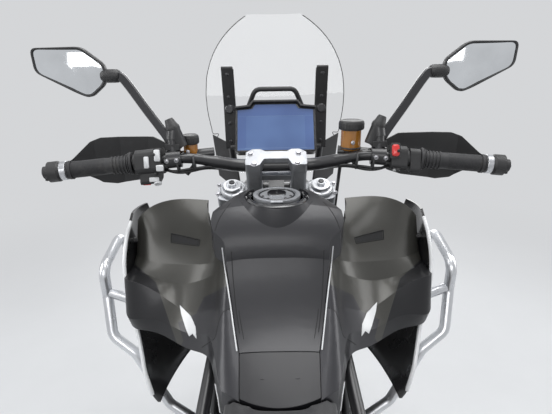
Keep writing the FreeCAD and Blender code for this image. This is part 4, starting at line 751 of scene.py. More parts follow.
def mirrors():
    joints, stems, heads, faces = shapes(4)
    outline = [pixel_at(px, py, 410) for px, py in
               ((29.5, 48), (80, 46.5), (105.5, 65), (106.5, 84), (91.5, 98.5), (79, 94), (35, 72.5))]
    outline = round_poly([(-p.x, p.z) for p in outline], 13)
    mid = Vector([sum(values) / len(outline) for values in zip(*outline)])

    def ring(side, y, inset):
        drawn = [mid + (p - mid) * (1 - inset / (p - mid).length) for p in outline]
        return [V(side * p.x, y, p.y) for p in drawn]

    route = [pixel_at(px, py, y) for px, py, y in
             ((171, 143, 372), (166, 134.5, 374), (148, 111, 388), (126, 81.5, 404), (118, 76, 410),
              (100, 75, 418))]
    for side in SIDES:
        heads.skin([ring(side, y, inset) for y, inset in
                    ((413, 5), (409.5, 5), (408.4, 3.6), (408.4, 1.4), (410, 0), (421, 0), (430, 4),
                     (436, 12), (438, 24))])
        faces.skin([ring(side, y, inset) for y, inset in ((413.2, 5.4), (410.6, 5.4), (410.0, 6.4))])
        path = smooth_line(mirrored(-side, route), 5)
        rings = []
        for i, p in enumerate(path):
            way = heading(path, i)
            wide = way.cross(V(0, 1, 0)).normalized()
            deep = way.cross(wide).normalized()
            rings.append([p + wide * a + deep * b for a, b in
                          ((9.5, 2.2), (7.5, 4.6), (-7.5, 4.6), (-9.5, 2.2),
                           (-9.5, -2.2), (-7.5, -4.6), (7.5, -4.6), (9.5, -2.2))])
        stems.skin(rings)
        joints.lathe(V(side * (2 - route[-2].x), 414, route[-2].z), (side, 0.05, 0),
                     [(11, -6), (13.5, -2), (14, 6), (14, 22), (12, 30), (9, 34)], 28)
        foot = on_bar(216, 12, 60, side)
        joints.lathe(foot, (side * 0.4, 0.1, 1),
                     [(13, -40), (14, -36), (14, -2), (15, 0), (15, 6), (12, 12), (10, 20), (8.4, 24)], 28)
        joints.block(foot + V(side * 2, -4, -34), (30, 30, 12))
    joints.make("mirror_joints", "black_plastic", "steering", bevel=0.3)
    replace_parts(heads.make("mirror_heads", "black_plastic", "steering", "black_plastic", angle=40),
                "mirrors")
    stems.make("mirror_stems", "dark_bar", "steering", angle=40)
    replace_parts(faces.make("mirror_faces", "mirror_face", "steering", "mirror_face"), "mirror_glass")


def display():
    bezel, glass, dim, lit, keys = shapes(5)
    c, right, up, back = V(0, 500, 1254), V(1, 0, 0), V(0, 0.5, 0.8660), V(0, -0.8660, 0.5)
    face = [(-96, -60), (96, -60), (96, 48), (59, 51), (51, 63), (-51, 63), (-59, 51), (-96, 48)]

    def at(k, m, h):
        return [c + right * x * k + up * (2 + (z - 2) * m) + back * h for x, z in face]

    bezel.skin([at(*row) for row in ((1, 1, -0.6), (1, 1, 1.6), (0.988, 0.982, 2.2), (0.968, 0.955, 2.2),
                                     (0.962, 0.948, 0.6))], caps=False)
    bezel.make("display_bezel", "display_face")
    glass.skin([at(0.966, 0.953, 0.2), at(0.966, 0.953, 1.0)])
    glass.make("display_glass", "screen_glow")
    dim.skin([[row[2] - up * 14, *row[2:8], row[7] - up * 14]
              for row in (at(0.950, 0.935, h) for h in (1.0, 1.12))])
    for side in SIDES:
        rounded(dim, c + right * side * 81 - up * 11, right, up, back, ((1.0, 19, 80), (1.1, 19, 80)), 2, 4)
    dim.make("display_fields", "screen_dim")
    for z, w, h in ((-52, 150, 1.0), (30, 136, 0.6)):
        rounded(lit, c + up * z, right, up, back, ((1.0, w, h), (1.2, w, h)), 0.3, 2)
    lit.make("display_marks", "screen_lit")
    for side in SIDES:
        for k in (-1, 0, 1):
            place = c + right * side * 94 + up * (-4 + 22 * k) + back * 0.4
            keys.skin([round_rect(place, right, up, 3.4, 12, 1.2, 3),
                       round_rect(place + back * 2.2, right, up, 2.6, 11, 1, 3)])
    hood = [(-99, 48), (-62, 52), (-54, 64), (54, 64), (62, 52), (99, 48),
            (99, 53), (64, 57), (56, 69), (-56, 69), (-64, 57), (-99, 53)]
    keys.skin([[c + right * x + up * z + back * d for x, z in hood] for d in (-20, 9)])
    keys.make("display_hood", "black_plastic", bevel=0.8)


def screen_parts():
    bolts, washers, rim, arms, inner = shapes(5)
    tree, bracket = tree_of("windscreen"), tree_of("screen_bracket")
    widest = {}
    for v in NODES["windscreen"].data.vertices:
        p = v.co * 1000
        for side in SIDES:
            cell = side, round(p.z / 12)
            if side * p.x > (side * widest[cell].x if cell in widest else 3):
                widest[cell] = p.copy()
    for side in SIDES:
        for z in (1240, 1350):
            at, n = meet(tree, (side * 119, 1200, z), (0, -1, 0))
            washers.lathe(at, n, [(8.5, -0.2), (8.5, 1.2), (7, 1.6)], 24)
            bolts.lathe(at + n * 1.4, n, [(6, 0), (5.6, 2.2), (3.6, 3.4), (1.8, 3.4), (1.6, 2.6)], 24)
        rim.rod([widest[cell] for cell in sorted(widest) if cell[0] == side], 0.9, 6)
        arms.prism([V(side * 105, y, z) for y, z in
                    ((588, 1196), (586, 1300), (566, 1390), (574, 1390), (600, 1300), (612, 1196))],
                   (side * -2.5, 0, 0))
        for z in (1206, 1254, 1322, 1378):
            hit = meet(bracket, (side * 119, 400, z), (0, 1, 0))
            if hit:
                arms.bolt(hit[0], (0, -1, 0.1), 3.6, 3)
        arms.lathe(V(side * 119, 586, 1290), (0, -1, 0.1), [(11, -6), (12, -3), (12, 3), (9, 5)], 20)
        corners = mirrored(side, ((108, 596, 1190), (176, 646, 1215), (168, 672, 1090), (104, 600, 1060)))
        inner.skin([corners, [p + V(0, 4, 0) for p in corners]])
    bolts.make("screen_screws", "screw")
    washers.make("screen_washers", "grip_rubber")
    # The edge line is painted shade: a dark outline along the screen's edge, in the near-black seam finish
    rim.make("screen_edge_shade", "seam")
    arms.make("screen_arm_covers", "dark_bar", bevel=0.6)
    inner.make("fairing_inners", "black_plastic", bevel=0.8)


switches()
bar_ends()
clamp_and_forks()
pots_and_lids()
mirrors()
display()
screen_parts()


# Tank, console and side trim

def own_finish(name, key):
    """Gives a CAD piece its own copy of a finish; returns the copy's nodes and the place's outputs."""
    NODES[name].data.materials[0] = mat = MAT[key].copy()
    tree = mat.node_tree
    return tree, node(tree, "SeparateXYZ", {0: node(tree, "TexCoord", {}).outputs["Object"]}).outputs


def second_tones():
    """Darkens the cowls' insides, the tank cover's low end, and the tank panels' flanks and blades."""
    tree, place = own_finish("side_cowls", "cowl_white")
    normal = node(tree, "SeparateXYZ", {0: node(tree, "NewGeometry", {}).outputs["Normal"]}).outputs
    outward = calc(tree, "MULTIPLY", calc(tree, "SIGN", place["X"]), normal["X"])
    tint(tree, calc(tree, "LESS_THAN", outward, 0.12), (0.016, 0.016, 0.017))

    tree, place = own_finish("tank_cover", "console_black")
    tint(tree, calc(tree, "LESS_THAN", place["Y"], 0.0872), (0.008, 0.008, 0.010))

    tree, place = own_finish("tank_panels", "tank_paint")
    left_x = calc(tree, "MULTIPLY", calc(tree, "ABSOLUTE", place["X"]), -1.0)
    left = node(tree, "CombineXYZ", {0: left_x, 1: place["Y"], 2: place["Z"]}).outputs[0]

    def region(inside, *lines):
        """One where the camera sees a place on the same side of all the lines as the pixel inside."""
        out = 1.0
        for a, b in lines:
            normal = look(*a).cross(look(*b)).normalized()
            if normal.dot(look(*inside)) < 0:
                normal = -normal
            reach = node(tree, "VectorMath", {0: left, 1: normal}, operation="DOT_PRODUCT").outputs["Value"]
            beyond = calc(tree, "GREATER_THAN", reach, normal.dot(VIEW.translation))
            out = calc(tree, "MULTIPLY", out, beyond)
        return out

    flank = region((140, 320), ((127, 257), (156, 282)), ((156, 281), (170, 322)))
    inner = calc(tree, "MAXIMUM", region((205, 360), ((178, 323), (198, 313)), ((172, 300), (185, 345))),
                 region((214, 305), ((204, 297.5), (217, 291)), ((196, 315), (205, 296))))
    tint(tree, flank, (0.012, 0.012, 0.014))
    tint(tree, inner, (0.026, 0.026, 0.030))


def two_sides(shape, tree, pixels, w, h, steps=7):
    """A bead under a line of pixels, and the same on the other side."""
    line = trace(tree, pixels, steps)
    for side in SIDES:
        shape.bead([(V(side * abs(p.x), p.y, p.z), V(side * abs(n.x) if abs(n.x) > 0.02 else 0, n.y, n.z))
                    for p, n in line], w, h)


def spread(shape, tree, pixels, thick):
    """A patch under an outline of pixels, and the same on the other side."""
    hits, faces = patch(tree, pixels)
    used = sorted({i for f in faces for i in f})
    place = {i: k for k, i in enumerate(used)}
    for side in SIDES:
        pts = [tuple(V(side * abs(q.x), q.y, q.z) for q in hits[i]) for i in used]
        shape.sheet(pts, [[place[i] for i in (f if side > 0 else f[::-1])] for f in faces], thick)


def tank_trim():
    panels, cover = tree_of("tank_panels"), tree_of("tank_cover")
    both = tree_of("tank_cover", "tank_panels")
    pale, dark, vent_shade = shapes(3)
    # The dark beads are painted shade along the seams and channels and round the vents
    for shape, tree, w, h, steps, line in (
            (pale, both, 2.6, 1.4, 7,
             [(333.5, 246), (332, 262), (330.4, 276), (328.6, 292), (327, 306), (325, 326), (322.4, 350)]),
            (dark, cover, 1.6, 0.35, 7, [(324.5, 250), (324, 270), (322.8, 292), (321.6, 309), (319, 332)]),
            (dark, panels, 1.8, 0.35, 7,
             [(328, 307.5), (334.5, 310), (338.5, 317), (341.5, 327), (344, 336), (351, 341), (357, 345)]),
            (dark, both, 1.8, 0.35, 7, [(343.6, 238), (340.4, 229), (336.6, 219), (331, 210), (324, 202)]),
            (dark, panels, 2.4, 1.6, 4, [(355.4, 237.6), (369, 233.8), (383.6, 230.2)]),
            (dark, panels, 2.0, 1.0, 4, [(356.6, 243.4), (370, 241.4), (384, 239.2)]),
            (dark, panels, 2.0, 1.2, 4, [(383.9, 230.2), (384.2, 239.2)]),
            (dark, panels, 2.0, 1.2, 4, [(355.2, 237.6), (356.6, 243.4)]),
            (pale, both, 3.0, 1.2, 4, [(357.8, 384.7), (354.6, 398), (350.6, 413)]),
            (dark, cover, 1.4, 0.3, 4, [(319, 309), (317.4, 322), (315, 338)])):
        two_sides(shape, tree, line, w, h, steps)
    spread(pale, panels, [(377.5, 302), (376, 312), (372, 326), (369, 333.5), (365.4, 331), (361.8, 336),
                          (362.6, 324), (367, 313)], 1.2)
    # Painted shade: a dark patch inside each vent opening
    spread(vent_shade, panels, [(356.2, 238.2), (357.2, 242.6), (383.2, 238.6), (383, 231)], 0.4)
    pale.make("tank_trims", "white_key")
    dark.make("tank_seam_shade", "seam")
    vent_shade.make("tank_vent_shade", "seam")


def cowl_edges():
    """A rolled lip along the rear edge of each cowl."""
    edge = Shape()
    mesh = NODES["side_cowls"].data
    ends = [[mesh.vertices[i].co * 1000 for i in e.vertices] for e in mesh.edges]
    for side in SIDES:
        line = []
        for z in range(704, 1066, 12):
            found = [a.lerp(b, (z - a.z) / (b.z - a.z)) for a, b in ends
                     if side * (a.x + b.x) > 560 and (a.z - z) * (b.z - z) < 0]
            if found:
                low = min(p.y for p in found)
                near = [p for p in found if p.y < low + 2]
                line.append(sum(near, Vector()) / len(near) + V(side * -0.5, 1.5, 0))
        edge.rod(line[::2], 4.6, 10)
    edge.make("cowl_edges", "cowl_white")


def filler():
    cap, collar, lid = shapes(3)
    c, top = V(0, 300, 1141), V(0, 300, 1147.2)
    cap.lathe(c, UP, [(66.4, -1), (66.4, 1.2), (65, 2.2), (55.5, 3.2), (54.4, 2.6), (54.4, -1)], 72)
    for t in turns(8, 0.5):
        cap.bolt(c + level(t) * 60.5 + UP * 2.4, UP, 2.6, 2.2)
    cap.make("filler_ring", "dark_gloss", bevel=0.2)
    cover = tree_of("tank_cover")
    inner, outer = [], []
    for t in turns(96):
        foot = c + level(t) * 76
        hit = meet(cover, foot + UP * 60, -UP)
        inner.append(c + level(t) * 65.5 + UP * 0.4)
        outer.append(V(foot.x, foot.y, min(hit[0].z + 0.5 if hit else 1120, 1140.6)))
    sunk = [[p - UP * 5 for p in row] for row in (outer, inner)]
    collar.skin([inner, outer, *sunk, inner], caps=False)
    collar.make("filler_collar", "console_black")
    for r in (45.5, 38.5):
        lid.lathe(top, UP, [(r, -0.6), (r, 0.9), (r - 1, 1.6), (r - 3.4, 1.6), (r - 4.2, 0.8),
                            (r - 4.2, -0.6)], 64)
    lid.lathe(top + V(0, 6, 0), UP, [(20, -0.6), (20, 2.4), (18.8, 3.4), (6, 3.6)], 48)
    lid.block(top + V(0, 6, 3.8), (3.0, 12, 1.2))
    for k in range(5):
        lid.bolt(top + level(math.radians(200 + 35 * k)) * 30 - UP * 0.4, UP, 2.2, 2.0)
    lid.make("filler_lid_rings", "dark_gloss", "fuel_cap", bevel=0.2)


second_tones()
tank_trim()
cowl_edges()
filler()


# Wheels

def arc_points(a, b, c, n):
    """Points along the circle through three x, radius pairs."""
    (ax, ay), (bx, by), (cx, cy) = a, b, c
    d = 2 * (ax * (by - cy) + bx * (cy - ay) + cx * (ay - by))
    aa, bb, cc = (x * x + y * y for x, y in (a, b, c))
    ux = (aa * (by - cy) + bb * (cy - ay) + cc * (ay - by)) / d
    uy = (aa * (cx - bx) + bb * (ax - cx) + cc * (bx - ax)) / d
    r = math.hypot(ax - ux, ay - uy)
    t0, tb, t1 = (math.atan2(y - uy, x - ux) for x, y in (a, b, c))
    span = (t1 - t0) % math.tau
    if (tb - t0) % math.tau > span:
        span -= math.tau
    return [(ux + r * math.cos(t0 + span * i / n), uy + r * math.sin(t0 + span * i / n))
            for i in range(n + 1)]


def tyre(name, replaced, body, axle, r, w, rim_r, rim_w, depth, pitches, columns):
    """A tyre carcass of one wall thickness with two tread blocks to a pitch in each column."""
    crown_x, drop, thick = 0.42 * w, 0.15 * w, 11
    bead_x, bead_top = rim_w / 2 - 5.3, rim_r + 16
    side_r = rim_r + 0.52 * (r - rim_r)
    crown_r = (crown_x ** 2 + drop ** 2) / (2 * drop)

    def crown(x):
        return r - crown_r + math.sqrt(crown_r ** 2 - x * x)

    wall = arc_points((bead_x, bead_top), (w / 2, side_r), (crown_x, r - drop), 14)
    top = [(x, crown(x) - depth * (1 - (abs(x) / crown_x) ** 6 * 0.7)) for x in
           (crown_x * math.cos(math.pi * i / 16) for i in range(1, 16))]
    right = [(bead_x, rim_r + 0.5)] + wall
    inner = [(crown_x - thick, r - drop - thick), (w / 2 - thick, side_r), (bead_x - thick, bead_top),
             (bead_x - thick, rim_r + 0.5)]
    outline = right + top + [(-x, q) for x, q in right[::-1] + inner[::-1]] + inner
    shape = Shape()
    shape.revolve(axle, outline, 144)
    for side in SIDES:
        for k, lift in ((0.24, 0.9), (0.30, 0.6), (0.78, 0.8), (0.86, 0.8)):
            x, q = wall[round(k * 14)]
            rib = ((-1, -1.4), (lift, -0.7), (lift, 0.7), (-1, 1.4))
            shape.revolve(axle, [(side * (x + d), q + e) for d, e in rib], 144)
    step = math.tau / pitches
    levels = ((1, 1, depth + 1.5), (0.96, 0.97, 1.0), (0.88, 0.92, 0.1))
    for x0, x1, shift, length, slant in columns:
        cx, half = (x0 + x1) / 2, length * 0.23 / r
        for side in SIDES:
            for i in range(pitches):
                for part in SIDES:
                    mid = step * (i + shift + (0.25 if side > 0 else 0.0)) + part * length * 0.25 / r
                    low, high = mid - half, mid + half
                    corners = [(x0, low), (x1, low - slant), (x1, high - slant), (x0, high)]
                    shape.skin([[on_wheel(axle, side * (cx + (x - cx) * wide),
                                          crown(min(x, crown_x)) - sunk, mid + (t - mid) * long)
                                 for x, t in corners[::side]] for wide, long, sunk in levels])
    obj = shape.make(name, "tyre_rubber", body, "tyre_rubber", angle=30)
    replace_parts(obj, replaced)


FRONT_AXLE = V(0, 801, 347)
REAR_LOW, REAR_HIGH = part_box("rear_tyre")
REAR_AXLE = V(0, (REAR_LOW[1] + REAR_HIGH[1]) * 500, (REAR_LOW[2] + REAR_HIGH[2]) * 500)


def wheels():
    tyre("front_tyre_tread", "front_tyre", "front_wheel", FRONT_AXLE, 347, 92, 267, 58, 6.5, 36,
         [(2.2, 16, 0.0, 50, 0.02), (19, 36, 0.5, 44, -0.02)])
    tyre("rear_tyre_tread", "rear_tyre", "rear_wheel", REAR_AXLE, 333, 150, 229, 112, 7.5, 32,
         [(2.8, 21, 0.0, 54, 0.03), (25, 42, 0.5, 48, -0.03), (46, 62, 0.1, 46, 0.02)])
    for name, axle, body, rim_in, flange_r, half_w, disc_rows in (
            ("front", FRONT_AXLE, "front_wheel", 246, 52, 34, ((68, 160), (-68, 160))),
            ("rear", REAR_AXLE, "rear_wheel", 208, 66, 52, ((80, 141),))):
        nipples, heads = shapes(2)
        step = math.tau / 16
        for side in SIDES:
            for i, here in enumerate(turns(16, 0.5 if side > 0 else 0.0)):
                start = on_wheel(axle, side * half_w, flange_r - 5, here)
                end = on_wheel(axle, side * 6, rim_in + 3, here + (1.6 * step if i % 2 else -1.6 * step))
                nipples.lathe(end, end - start,
                              [(2.9, -20), (3.9, -17), (3.9, -9), (4.8, -7.5), (4.8, -2)], 12)
                heads.lathe(start + V(side * 3, 0, 0), (side, 0, 0), [(4.4, 0), (4.2, 1.4), (2.6, 2.4)], 12)
        nipples.make(name + "_spoke_nipples", "silver", body)
        for x, r_out in disc_rows:
            side = 1 if x > 0 else -1
            for t in turns(8, 0.5):
                heads.lathe(on_wheel(axle, x + side * 2.4, r_out * 0.79, t), (side, 0, 0),
                            [(8.5, -0.4), (8.5, 1.0), (7.4, 1.8), (4.6, 1.8), (4.2, 1.0)], 20)
            for t in turns(6):
                heads.bolt(on_wheel(axle, x + side * 2.4, 36, t), (side, 0, 0), 4.4, 4)
        heads.make(name + "_disc_bobbins", "screw", body, bevel=0.2)


# Frame, engine and lamps

def screws_on(shape, name, rays, r, h, socket=True):
    """Screw heads where rays, each a place outside and a direction, meet a node on both sides."""
    tree = tree_of(name)
    for side in SIDES:
        for ray in rays:
            at, way = mirrored(side, ray)
            hit = meet(tree, at, way)
            if hit:
                shape.bolt(hit[0], -way, r, h, socket)


def belt(shape, tree, at, way, reach, width, lift, steps=40):
    """A strap that follows a piece's surface right round."""
    rings = []
    for along, up in ((-0.5, -1.0), (-0.5, lift * 0.7), (-0.35, lift),
                      (0.35, lift), (0.5, lift * 0.7), (0.5, -1.0)):
        start, ring = at + way * along * width, []
        for out in around(way, steps):
            hit = meet(tree, start + out * reach, -out)
            ring.append(start + out * (((hit[0] - start).dot(out) if hit else reach * 0.4) + up))
        rings.append(ring)
    shape.skin(rings)


def coil(shape, a, b, r, wire, turned):
    """A spring that winds from a to b, with ten points to a turn."""
    ring, n = around(b - a, 10), turned * 10
    shape.rod([a + (b - a) * i / n + ring[i % 10] * r for i in range(n + 1)], wire, 8)


def circle(y, z, r, n, shift=0.0):
    return [(y + r * math.cos(t), z + r * math.sin(t)) for t in turns(n, shift)]


def engine():
    bolts, dark = shapes(2)
    for name, places, r, h, socket in (
            ("engine_case", circle(96, 392, 83, 10) + circle(-56, 400, 67, 8, 0.5)
             + [(-120, 345), (-120, 430), (176, 425), (180, 336)], 4.6, 5, True),
            ("engine_head", [(150, 690), (240, 662), (130, 640), (236, 610), (120, 590)], 4.6, 5, True),
            ("frame", [(-206, 540), (-180, 320), (-222, 300)], 6.5, 6, True),
            ("skid_plate", [(-80, 222), (20, 222), (120, 222)], 4.4, 3, True),
            ("swingarm", [(-206, 455)], 11, 7, False),
            ("front_mudguard", [(840, 590)], 4.4, 4, True),
            ("footrests", [(-222, 395), (-172, 395), (-300, 525)], 5, 5, True)):
        screws_on(bolts, name, [((400, y, z), (-1, 0, 0)) for y, z in places], r, h, socket)
    screws_on(bolts, "crash_bars", [((170, 330, 800), (0, 0, -1)), ((170, 150, 575), (0, 1, 0))], 5, 5)
    for side in SIDES:
        dark.lathe((side * 156, 96, 392), (side, 0, 0),
                   [(66, -0.5), (66, 1.2), (60, 2.6), (52, 2.0), (50, 1.0), (20, 1.0), (18, 3.2), (6, 4)], 48)
        dark.lathe((side * 136, -56, 400), (side, 0, 0),
                   [(58, -0.5), (58, 1.0), (52, 2.4), (30, 2.8), (28, 4.4), (8, 5.4)], 44)
    bolts.make("frame_screws", "dark_screw", bevel=0.3)
    dark.make("engine_covers", "dark_bar", bevel=0.4)


def radiators():
    fins, hoses, clips = shapes(3)
    for side in SIDES:
        for k in range(44):
            t = (k + 0.8) / 45.2
            fins.block(V(side * 108, 386.7 + 84 * t, 572 + 228 * t), (84, 1.6, 2.2), (1, 0, 0),
                       (0, 228, -84))
        for x in range(70, 150, 8):
            fins.prism([V(side * (x + d), 386.2 + 84 * t, 572 + 228 * t) for d, t in
                        ((0, 0.02), (1.2, 0.02), (1.2, 0.98), (0, 0.98))], (0, 1.0, -0.3))
        for route in (((160, 440, 806), (150, 420, 826), (120, 360, 800), (96, 280, 740), (88, 240, 700)),
                      ((160, 372, 560), (158, 362, 530), (140, 330, 500), (110, 250, 450))):
            hoses.rod(mirrored(side, route), 15, 18)
        for place in (((120, 360, 800), (24, 60, 30)), ((140, 330, 500), (20, 50, 30))):
            clips.lathe(*mirrored(side, place), [(15.5, -5), (16.6, -4.6), (16.6, 4.6), (15.5, 5)], 28)
    fins.make("radiator_fins", "dark_screw")
    hoses.make("coolant_hoses", "grip_rubber")
    clips.make("hose_clips", "silver")


def silencer_and_stands():
    bands, tips, springs = shapes(3)
    silencer = tree_of("silencer")
    start, end = V(200, -363, 498), V(212, -830, 640)
    way = (end - start).normalized()
    for d in (104, 300, 452):
        belt(bands, silencer, start + way * d, way, 120, 16, 1.4)
    for out in around(way, 10):
        hit = meet(silencer, start + way * 462 + out * 120, -out)
        if hit:
            tips.lathe(*hit, [(3.2, -0.5), (3.0, 1.2), (1.6, 2.2)], 12)
    for side in SIDES:
        coil(springs, *mirrored(side, ((96, -196, 236), (112, -150, 330))), 8, 1.8, 12)
    bands.make("silencer_bands", "bare_alloy")
    tips.make("silencer_rivets", "screw")
    springs.make("stand_springs", "screw")


def lamps_and_seals():
    strips, lens, seals, lamp, rings, bowls = shapes(6)
    for side in SIDES:
        strips.rod(mirrored(side, ((14, 800, 978), (60, 798, 976), (84, 794, 958), (92, 792, 925))), 3, 8)
        for y, way, z in ((-1003, -1, 730), (730, 1, 850)):
            rounded(lens, V(side * 143, y, z), V(1, 0, 0), UP, V(0, way, 0),
                    ((-2, 60, 27), (2, 60, 27), (5, 56, 24), (6.5, 48, 17)), 6, 5)
        seals.lathe(on_steer(775, side * FORK_X, FORK_OFF), STEER_DIR,
                    [(25.2, -18), (31.8, -15), (32.6, -12), (32.6, -2), (31, 1), (29.5, 4)], 44)
        seals.lathe(FRONT_AXLE + V(side * 134, 0, 0), (side, 0, 0),
                    [(17, -2), (17, 5), (15, 7), (10, 7), (9, 3), (6.5, 3)], 6)
        at, way = V(side * 46, 790, 938), V(0, 1, 0.02)
        rings.lathe(at, way, [(42, -4), (43, 4), (41, 15), (38, 17), (36.5, 15), (36.5, 2)], 56)
        bowls.lathe(at, way, [(36, 1.5), (36, 13), (33, 11), (26, 6), (21, 3.5)], 56)
        lamp.lathe(at, way, [(20, 2), (20, 7), (17, 11), (12, 13.5), (6, 14.6), (1, 14.9)], 44)
        lamp.lathe(at, way, [(36.2, 14), (36.2, 15), (30, 16.6), (15, 17.8), (1, 18.2)], 44)
    strips.make("headlamp_strips", "white_key")
    lens.make("indicator_lenses", "orange_lens")
    seals.make("fork_seals", "grip_rubber", "steering", bevel=0.3)
    lamp.make("headlamp_lenses", "lamp_glass")
    bowls.make("headlamp_bowls", "silver")
    rings.make("headlamp_rings", "black_plastic")


def tail():
    plate, holder, lights, rack = shapes(4)
    right, down, out = V(1, 0, 0), V(0, -68, -98).normalized(), V(0, -98, 68).normalized()
    mid = V(0, -1112, 569) + out * 1.0
    rounded(plate, mid, right, down, out, ((0, 182, 108), (1.6, 182, 108), (2, 181, 107)), 8, 5)
    plate.make("blank_plate", "white_key")
    edge = [p + out * 1.4 for p in round_rect(mid, right, down, 186, 112, 9, 5)]
    holder.bead([(p, out) for p in edge + edge[:2]], 5, 2.2)
    for x in (-62, 62):
        holder.bolt(mid + V(x, 0, 0) - down * 36 + out * 1.8, out, 4.4, 3)
    holder.lathe(V(0, -1028, 700), (0, -1, 0.5), [(20, -6), (21, -3), (21, 2), (19, 4), (6, 5)], 32)
    holder.make("plate_holder", "black_plastic", bevel=0.2)
    for x in (-40, -20, 0, 20, 40):
        rounded(lights, V(x, -960, 902), right, UP, V(0, -1, 0),
                ((-1, 16.5, 36), (1.6, 16.5, 36), (2.6, 14, 32)), 3, 4)
    lights.make("tail_lamp_segments", "red_lens")
    for x, y in ((-100, -770), (100, -770), (-86, -925), (86, -925)):
        rack.bolt(V(x, y, 968), UP, 5, 4)
    rack.make("rack_screws", "screw", bevel=0.3)


# Seats

def smooth(mesh, rounds, shrink=0.0):
    """Evens a mesh out, and then draws it in along its normals by shrink millimetres."""
    bm = bmesh.new()
    bm.from_mesh(mesh)
    for _ in range(rounds):
        bmesh.ops.smooth_vert(bm, verts=bm.verts, factor=0.5, use_axis_x=True, use_axis_y=True,
                              use_axis_z=True)
    bm.normal_update()
    for v in bm.verts:
        v.co -= v.normal * shrink * MM
    bm.to_mesh(mesh)
    bm.free()


def as_modified(obj):
    """The object's mesh as its modifiers leave it; they are then taken off."""
    mesh = bpy.data.meshes.new_from_object(obj.evaluated_get(bpy.context.evaluated_depsgraph_get()))
    obj.modifiers.clear()
    return mesh


# In millimetres: the remesh grid, how far the foam is drawn in, and how far the cloth may then move
VOXEL, SHRINK, SWELL = 6, 3.5, 7.5
CLOTH_FRAMES = 20


def cushion(source, name):
    """A padded seat: a remeshed copy that swells as cloth over foam would, held along its base and nose."""
    obj = add(bpy.data.objects.new(name, NODES[source].data.copy()))
    even = obj.modifiers.new("even", "REMESH")
    even.mode, even.voxel_size = "VOXEL", VOXEL * MM
    mesh = as_modified(obj)
    smooth(mesh, 4, SHRINK)
    obj.data = mesh
    held = obj.vertex_groups.new(name="held")
    held.add([v.index for v in mesh.vertices if v.normal.z < -0.35 or v.normal.y > 0.75], 1.0, "REPLACE")
    start = [v.co.copy() for v in mesh.vertices]
    cloth = obj.modifiers.new("cloth", "CLOTH")
    s = cloth.settings
    s.quality, s.mass = 5, 0.3
    s.tension_stiffness = s.compression_stiffness = 12
    s.shear_stiffness, s.bending_stiffness = 8, 1.2
    s.use_pressure, s.uniform_pressure_force = True, 4.0
    s.vertex_group_mass = "held"
    s.effector_weights.gravity = 0
    cloth.collision_settings.use_collision = False
    cloth.point_cache.frame_start, cloth.point_cache.frame_end = 1, CLOTH_FRAMES
    for f in range(1, CLOTH_FRAMES + 1):
        SCENE.frame_set(f)
    mesh = as_modified(obj)
    for v, at in zip(mesh.vertices, start):
        move = v.co - at
        if move.length > SWELL * MM:
            v.co = at + move.normalized() * SWELL * MM
    smooth(mesh, 2)
    obj.data = mesh
    SCENE.frame_set(1)
    mesh.polygons.foreach_set("use_smooth", [True] * len(mesh.polygons))
    mesh.materials.clear()
    mesh.materials.append(MAT["seat_vinyl"])
    soft = obj.modifiers.new("soft", "SUBSURF")
    soft.levels = soft.render_levels = 1
    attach(obj, "chassis")
    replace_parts(obj, source)
    return BVHTree.FromPolygons([v.co.copy() for v in mesh.vertices],
                                [list(p.vertices) for p in mesh.polygons])


def even_line(hits, step):
    """The same line with points at an even distance."""
    out, left = [hits[0]], step
    for (a, n), (b, m) in zip(hits, hits[1:]):
        span = (b - a).length
        at = left
        while at <= span:
            t = at / span
            out.append((a.lerp(b, t), n.lerp(m, t).normalized()))
            at += step
        left = at - span
    return out


def stitches(thread, hits, gap, sides=SIDES):
    """Rows of stitches beside a seam."""
    line = [p for p, _ in hits]
    for side in sides:
        row = even_line([(p + heading(line, i).cross(n).normalized() * side * gap, n)
                         for i, (p, n) in enumerate(hits)], 3.1)
        for pair in zip(row[::2], row[1::2]):
            thread.bead([(p - n * 0.1, n) for p, n in pair], 1.0, 0.55, 0.5)


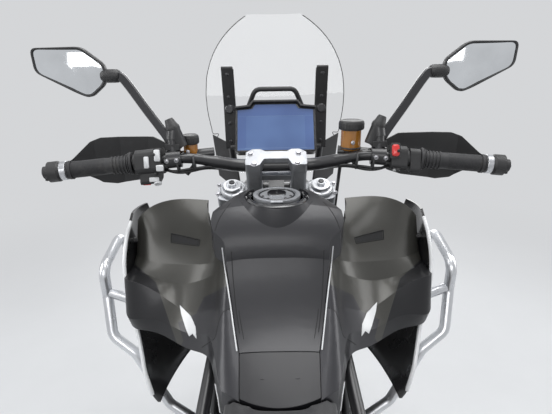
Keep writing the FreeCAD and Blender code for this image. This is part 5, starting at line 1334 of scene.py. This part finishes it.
def seats():
    rider = cushion("rider_seat", "rider_cushion")
    pillion = cushion("pillion_seat", "pillion_cushion")
    piping, groove_shade, thread = shapes(3)
    for tree, y0, y1, z0, bend, rise in ((rider, 44, -338, 846, -180, 0.15),
                                         (pillion, -366, -676, 902, -440, 0.03)):
        for side in SIDES:
            ys = [y0 + (y1 - y0) * i / 39 for i in range(40)]
            line = [meet(tree, (side * 320, y, z0 + max(0, bend - y) * rise), (-side, 0, 0)) for y in ys]
            line = even_line([hit for hit in line if hit], 8)
            piping.bead(line, 4.2, 1.9, 1.0)
            stitches(thread, line, 5.0, (side,))
    # The groove beads are painted shade: dark strips along the seams across the seats
    for tree, y, w, bow in ((rider, -30, 78, 16), (rider, -190, 100, 18), (pillion, -420, 112, 10),
                            (pillion, -640, 84, -10)):
        line = [meet(tree, (w * k, y - bow * k * k, 1200), (0, 0, -1))
                for k in (i / 20 - 1 for i in range(41))]
        line = [hit for hit in line if hit]
        groove_shade.bead(line, 1.4, 0.35, 0.5)
        stitches(thread, line, 4.5)
    piping.make("seat_piping", "grip_rubber")
    groove_shade.make("seat_seam_shade", "seam")
    thread.make("seat_stitches", "thread")


wheels()
engine()
radiators()
silencer_and_stands()
lamps_and_seals()
tail()
seats()


# Floor

def ground():
    mesh = bpy.data.meshes.new("floor")
    mesh.from_pydata([(-14, -14, 0), (14, -14, 0), (14, 14, 0), (-14, 14, 0)], [], [(0, 1, 2, 3)])
    m = Mat("floor", (0.60, 0.61, 0.62), 0.55).vary(1.2, 0.03, 0.05)
    m.bump(m.noise(60, 3), 0.03)
    length = node(m.tree, "VectorMath", {0: m.coord}, operation="LENGTH").outputs["Value"]
    reach = {0: length, "From Min": 1.3, "From Max": 4.2}
    fade = node(m.tree, "MapRange", reach, interpolation_type="SMOOTHSTEP").outputs[0]
    fac = calc(m.tree, "MULTIPLY", fade, seen_rays(m.tree))
    mix_shaders(m.tree, fac, m.b, node(m.tree, "Emission", {0: BACK}), m.tree.nodes["Material Output"])
    mesh.materials.append(m.mat)
    obj = add(bpy.data.objects.new("floor", mesh))


ground()
bpy.context.scene.view_settings.view_transform = "Standard"
